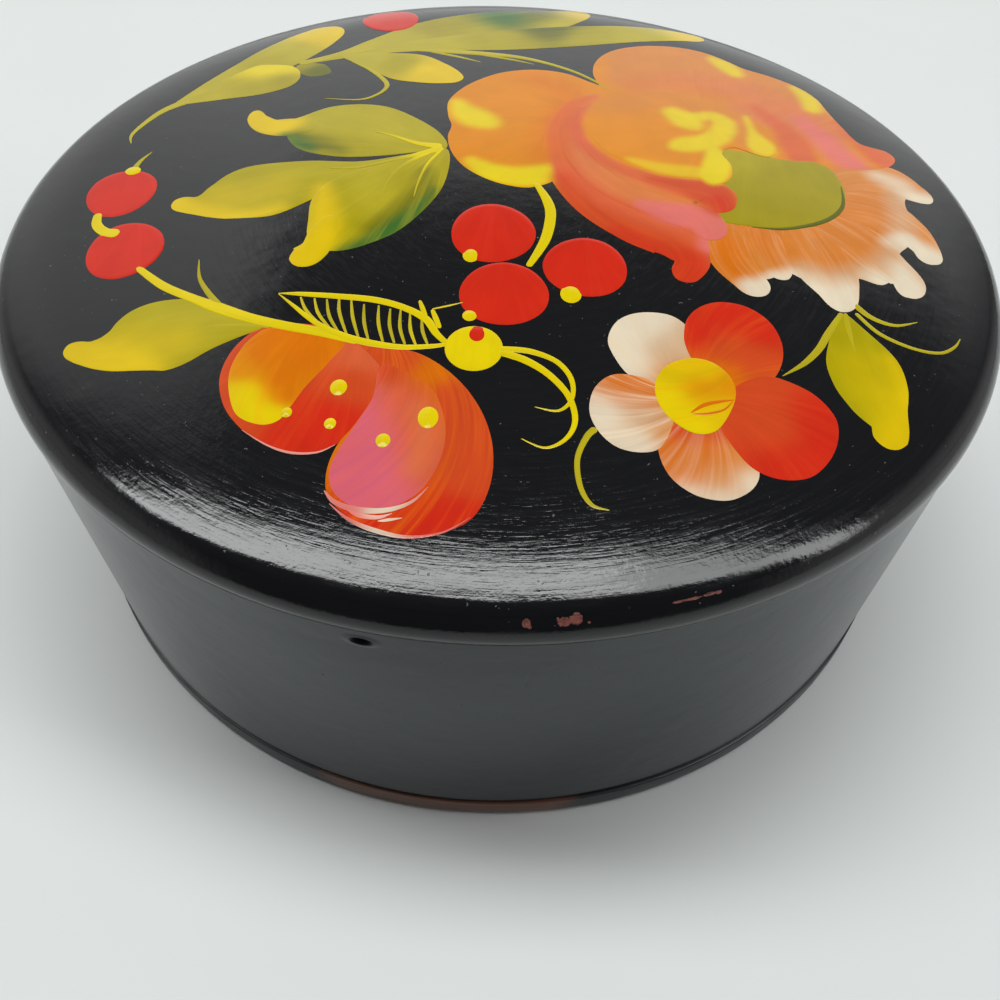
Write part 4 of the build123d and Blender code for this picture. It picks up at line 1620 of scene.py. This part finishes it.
def build_room():
    """A dim room by direction, lighter at both sides, with a pale window low beyond the box.

    The window fades out upwards, at its two ends and towards the viewer. It reaches higher
    at its left end and is duller there.
    """
    world = bpy.data.worlds.new("room")
    bpy.context.scene.world = world
    world.use_nodes = True
    n = Nodes(world.node_tree)
    x, y, z = n.split(n.add("ShaderNodeTexCoord").outputs["Generated"])
    dim = n.mix(n.span(y, -0.45, 0.05), (0.075, 0.075, 0.077), (0.13, 0.131, 0.132))
    sides = n.span(n.math("ABSOLUTE", x), 0.72, 0.93, 0.0, 0.36)
    dim = n.mix(1.0, dim, n.combine(sides, sides, sides), "ADD")
    higher = n.span(x, -0.34, -0.2, 0.2, 0.0)
    window = n.times(n.span(y, 0.38, 0.58), n.span(n.math("SUBTRACT", z, higher), 0.6, 0.42))
    window = n.times(window, n.times(n.span(x, 0.78, 0.4), n.span(x, -0.93, -0.6)))
    window = n.times(window, n.span(x, -0.5, -0.2, 0.74, 1.0))
    n.link(
        n.mix(window, dim, (0.94, 0.95, 0.95)), world.node_tree.nodes["Background"].inputs["Color"],
    )


def build_stage():
    """Pale table, camera, lamps and the dim room round them."""
    settings = bpy.context.scene.lacquer_box_stage
    count = TABLE_CELLS + 1
    line = np.linspace(-TABLE_REACH, TABLE_REACH, count)
    x, y = np.meshgrid(line, line, indexing="ij")
    points = np.stack([x, y, np.zeros_like(x)], -1).reshape(-1, 3) * MM
    i, j = np.meshgrid(np.arange(TABLE_CELLS), np.arange(TABLE_CELLS), indexing="ij")
    a = i * count + j
    faces = np.stack([a, a + count, a + count + 1, a + 1], -1).reshape(-1, 4)
    mesh = bpy.data.meshes.new("table")
    mesh.from_pydata(points.tolist(), [], faces.tolist())
    mesh.materials.append(table_top("pale_table", settings.floor))
    table = bpy.data.objects.new("table", mesh)
    bpy.context.scene.collection.objects.link(table)
    build_camera()
    build_room()
    build_lamp("strip_overhead", (-1.14, 0.205, 1.25), (0.30, 0.165, 1.25), 0.33, settings.lamp)
    build_lamp("strip_right", (0.28, 0.16, 1.25), (2.6, -0.78, 1.25), 0.36, settings.lamp * 0.6)


# ---------------------------------------------------------------- add-on

class LACQUERBOX_OT_base(bpy.types.Operator):
    """Make the worn base disc"""

    bl_idname = "lacquerbox.base"
    bl_label = "Base disc"

    def execute(self, context):
        build_base()
        return {"FINISHED"}


class LACQUERBOX_OT_wall(bpy.types.Operator):
    """Make the flaring black wall, red inside"""

    bl_idname = "lacquerbox.wall"
    bl_label = "Wall"

    def execute(self, context):
        build_wall()
        return {"FINISHED"}


class LACQUERBOX_OT_rim(bpy.types.Operator):
    """Make the lid's chipped rim"""

    bl_idname = "lacquerbox.rim"
    bl_label = "Lid rim"

    def execute(self, context):
        build_rim()
        return {"FINISHED"}


class LACQUERBOX_OT_panel(bpy.types.Operator):
    """Make the lid's domed panel"""

    bl_idname = "lacquerbox.panel"
    bl_label = "Lid panel"

    def execute(self, context):
        build_panel()
        return {"FINISHED"}


class LACQUERBOX_OT_ring(bpy.types.Operator):
    """Make the ring under the lid"""

    bl_idname = "lacquerbox.ring"
    bl_label = "Lid ring"

    def execute(self, context):
        build_ring()
        return {"FINISHED"}


class LACQUERBOX_OT_leaves(bpy.types.Operator):
    """Paint the leaves"""

    bl_idname = "lacquerbox.leaves"
    bl_label = "Leaves"

    def execute(self, context):
        build_leaves()
        return {"FINISHED"}


class LACQUERBOX_OT_rose(bpy.types.Operator):
    """Paint the large flower"""

    bl_idname = "lacquerbox.rose"
    bl_label = "Large flower"

    def execute(self, context):
        build_rose()
        return {"FINISHED"}


class LACQUERBOX_OT_berries(bpy.types.Operator):
    """Paint the berries"""

    bl_idname = "lacquerbox.berries"
    bl_label = "Berries"

    def execute(self, context):
        build_berries()
        return {"FINISHED"}


class LACQUERBOX_OT_stems(bpy.types.Operator):
    """Paint the stems and curls"""

    bl_idname = "lacquerbox.stems"
    bl_label = "Stems"

    def execute(self, context):
        build_stems()
        return {"FINISHED"}


class LACQUERBOX_OT_small_flower(bpy.types.Operator):
    """Paint the small flower"""

    bl_idname = "lacquerbox.small_flower"
    bl_label = "Small flower"

    def execute(self, context):
        build_small_flower()
        return {"FINISHED"}


class LACQUERBOX_OT_butterfly(bpy.types.Operator):
    """Paint the butterfly"""

    bl_idname = "lacquerbox.butterfly"
    bl_label = "Butterfly"

    def execute(self, context):
        build_butterfly()
        return {"FINISHED"}


class LACQUERBOX_OT_stage(bpy.types.Operator):
    """Make the table, camera and light"""

    bl_idname = "lacquerbox.stage"
    bl_label = "Stage"

    def execute(self, context):
        build_stage()
        return {"FINISHED"}


OPERATORS = (
    LACQUERBOX_OT_base, LACQUERBOX_OT_wall, LACQUERBOX_OT_rim, LACQUERBOX_OT_panel,
    LACQUERBOX_OT_ring, LACQUERBOX_OT_leaves, LACQUERBOX_OT_rose, LACQUERBOX_OT_berries,
    LACQUERBOX_OT_stems, LACQUERBOX_OT_small_flower, LACQUERBOX_OT_butterfly, LACQUERBOX_OT_stage,
)


class LACQUERBOX_PT_panel(bpy.types.Panel):
    """Lists the pieces and their settings."""

    bl_label = "Lacquer Box"
    bl_idname = "LACQUERBOX_PT_panel"
    bl_space_type = "VIEW_3D"
    bl_region_type = "UI"
    bl_category = "Lacquer Box"

    def draw(self, context):
        for item in OPERATORS:
            self.layout.operator(item.bl_idname)
        for group in ("lacquer_box_lacquer", "lacquer_box_paint", "lacquer_box_stage"):
            settings = getattr(context.scene, group)
            for name in settings.__annotations__:
                self.layout.prop(settings, name)


GROUPS = {
    "lacquer_box_lacquer": LacquerSettings,
    "lacquer_box_paint": PaintSettings,
    "lacquer_box_stage": StageSettings,
}


def register():
    """Register the groups, operators and panel, and hang the groups on the scene."""
    for item in (*GROUPS.values(), *OPERATORS, LACQUERBOX_PT_panel):
        bpy.utils.register_class(item)
    for name, group in GROUPS.items():
        setattr(bpy.types.Scene, name, PointerProperty(type=group))


def unregister():
    """Take all of that away again."""
    for name in GROUPS:
        delattr(bpy.types.Scene, name)
    for item in reversed((*GROUPS.values(), *OPERATORS, LACQUERBOX_PT_panel)):
        bpy.utils.unregister_class(item)


def main():
    """Make every piece and the stage."""
    register()
    bpy.context.scene.view_settings.view_transform = "Standard"
    for item in OPERATORS:
        group, name = item.bl_idname.split(".")
        getattr(getattr(bpy.ops, group), name)()


if __name__ == "__main__":
    main()
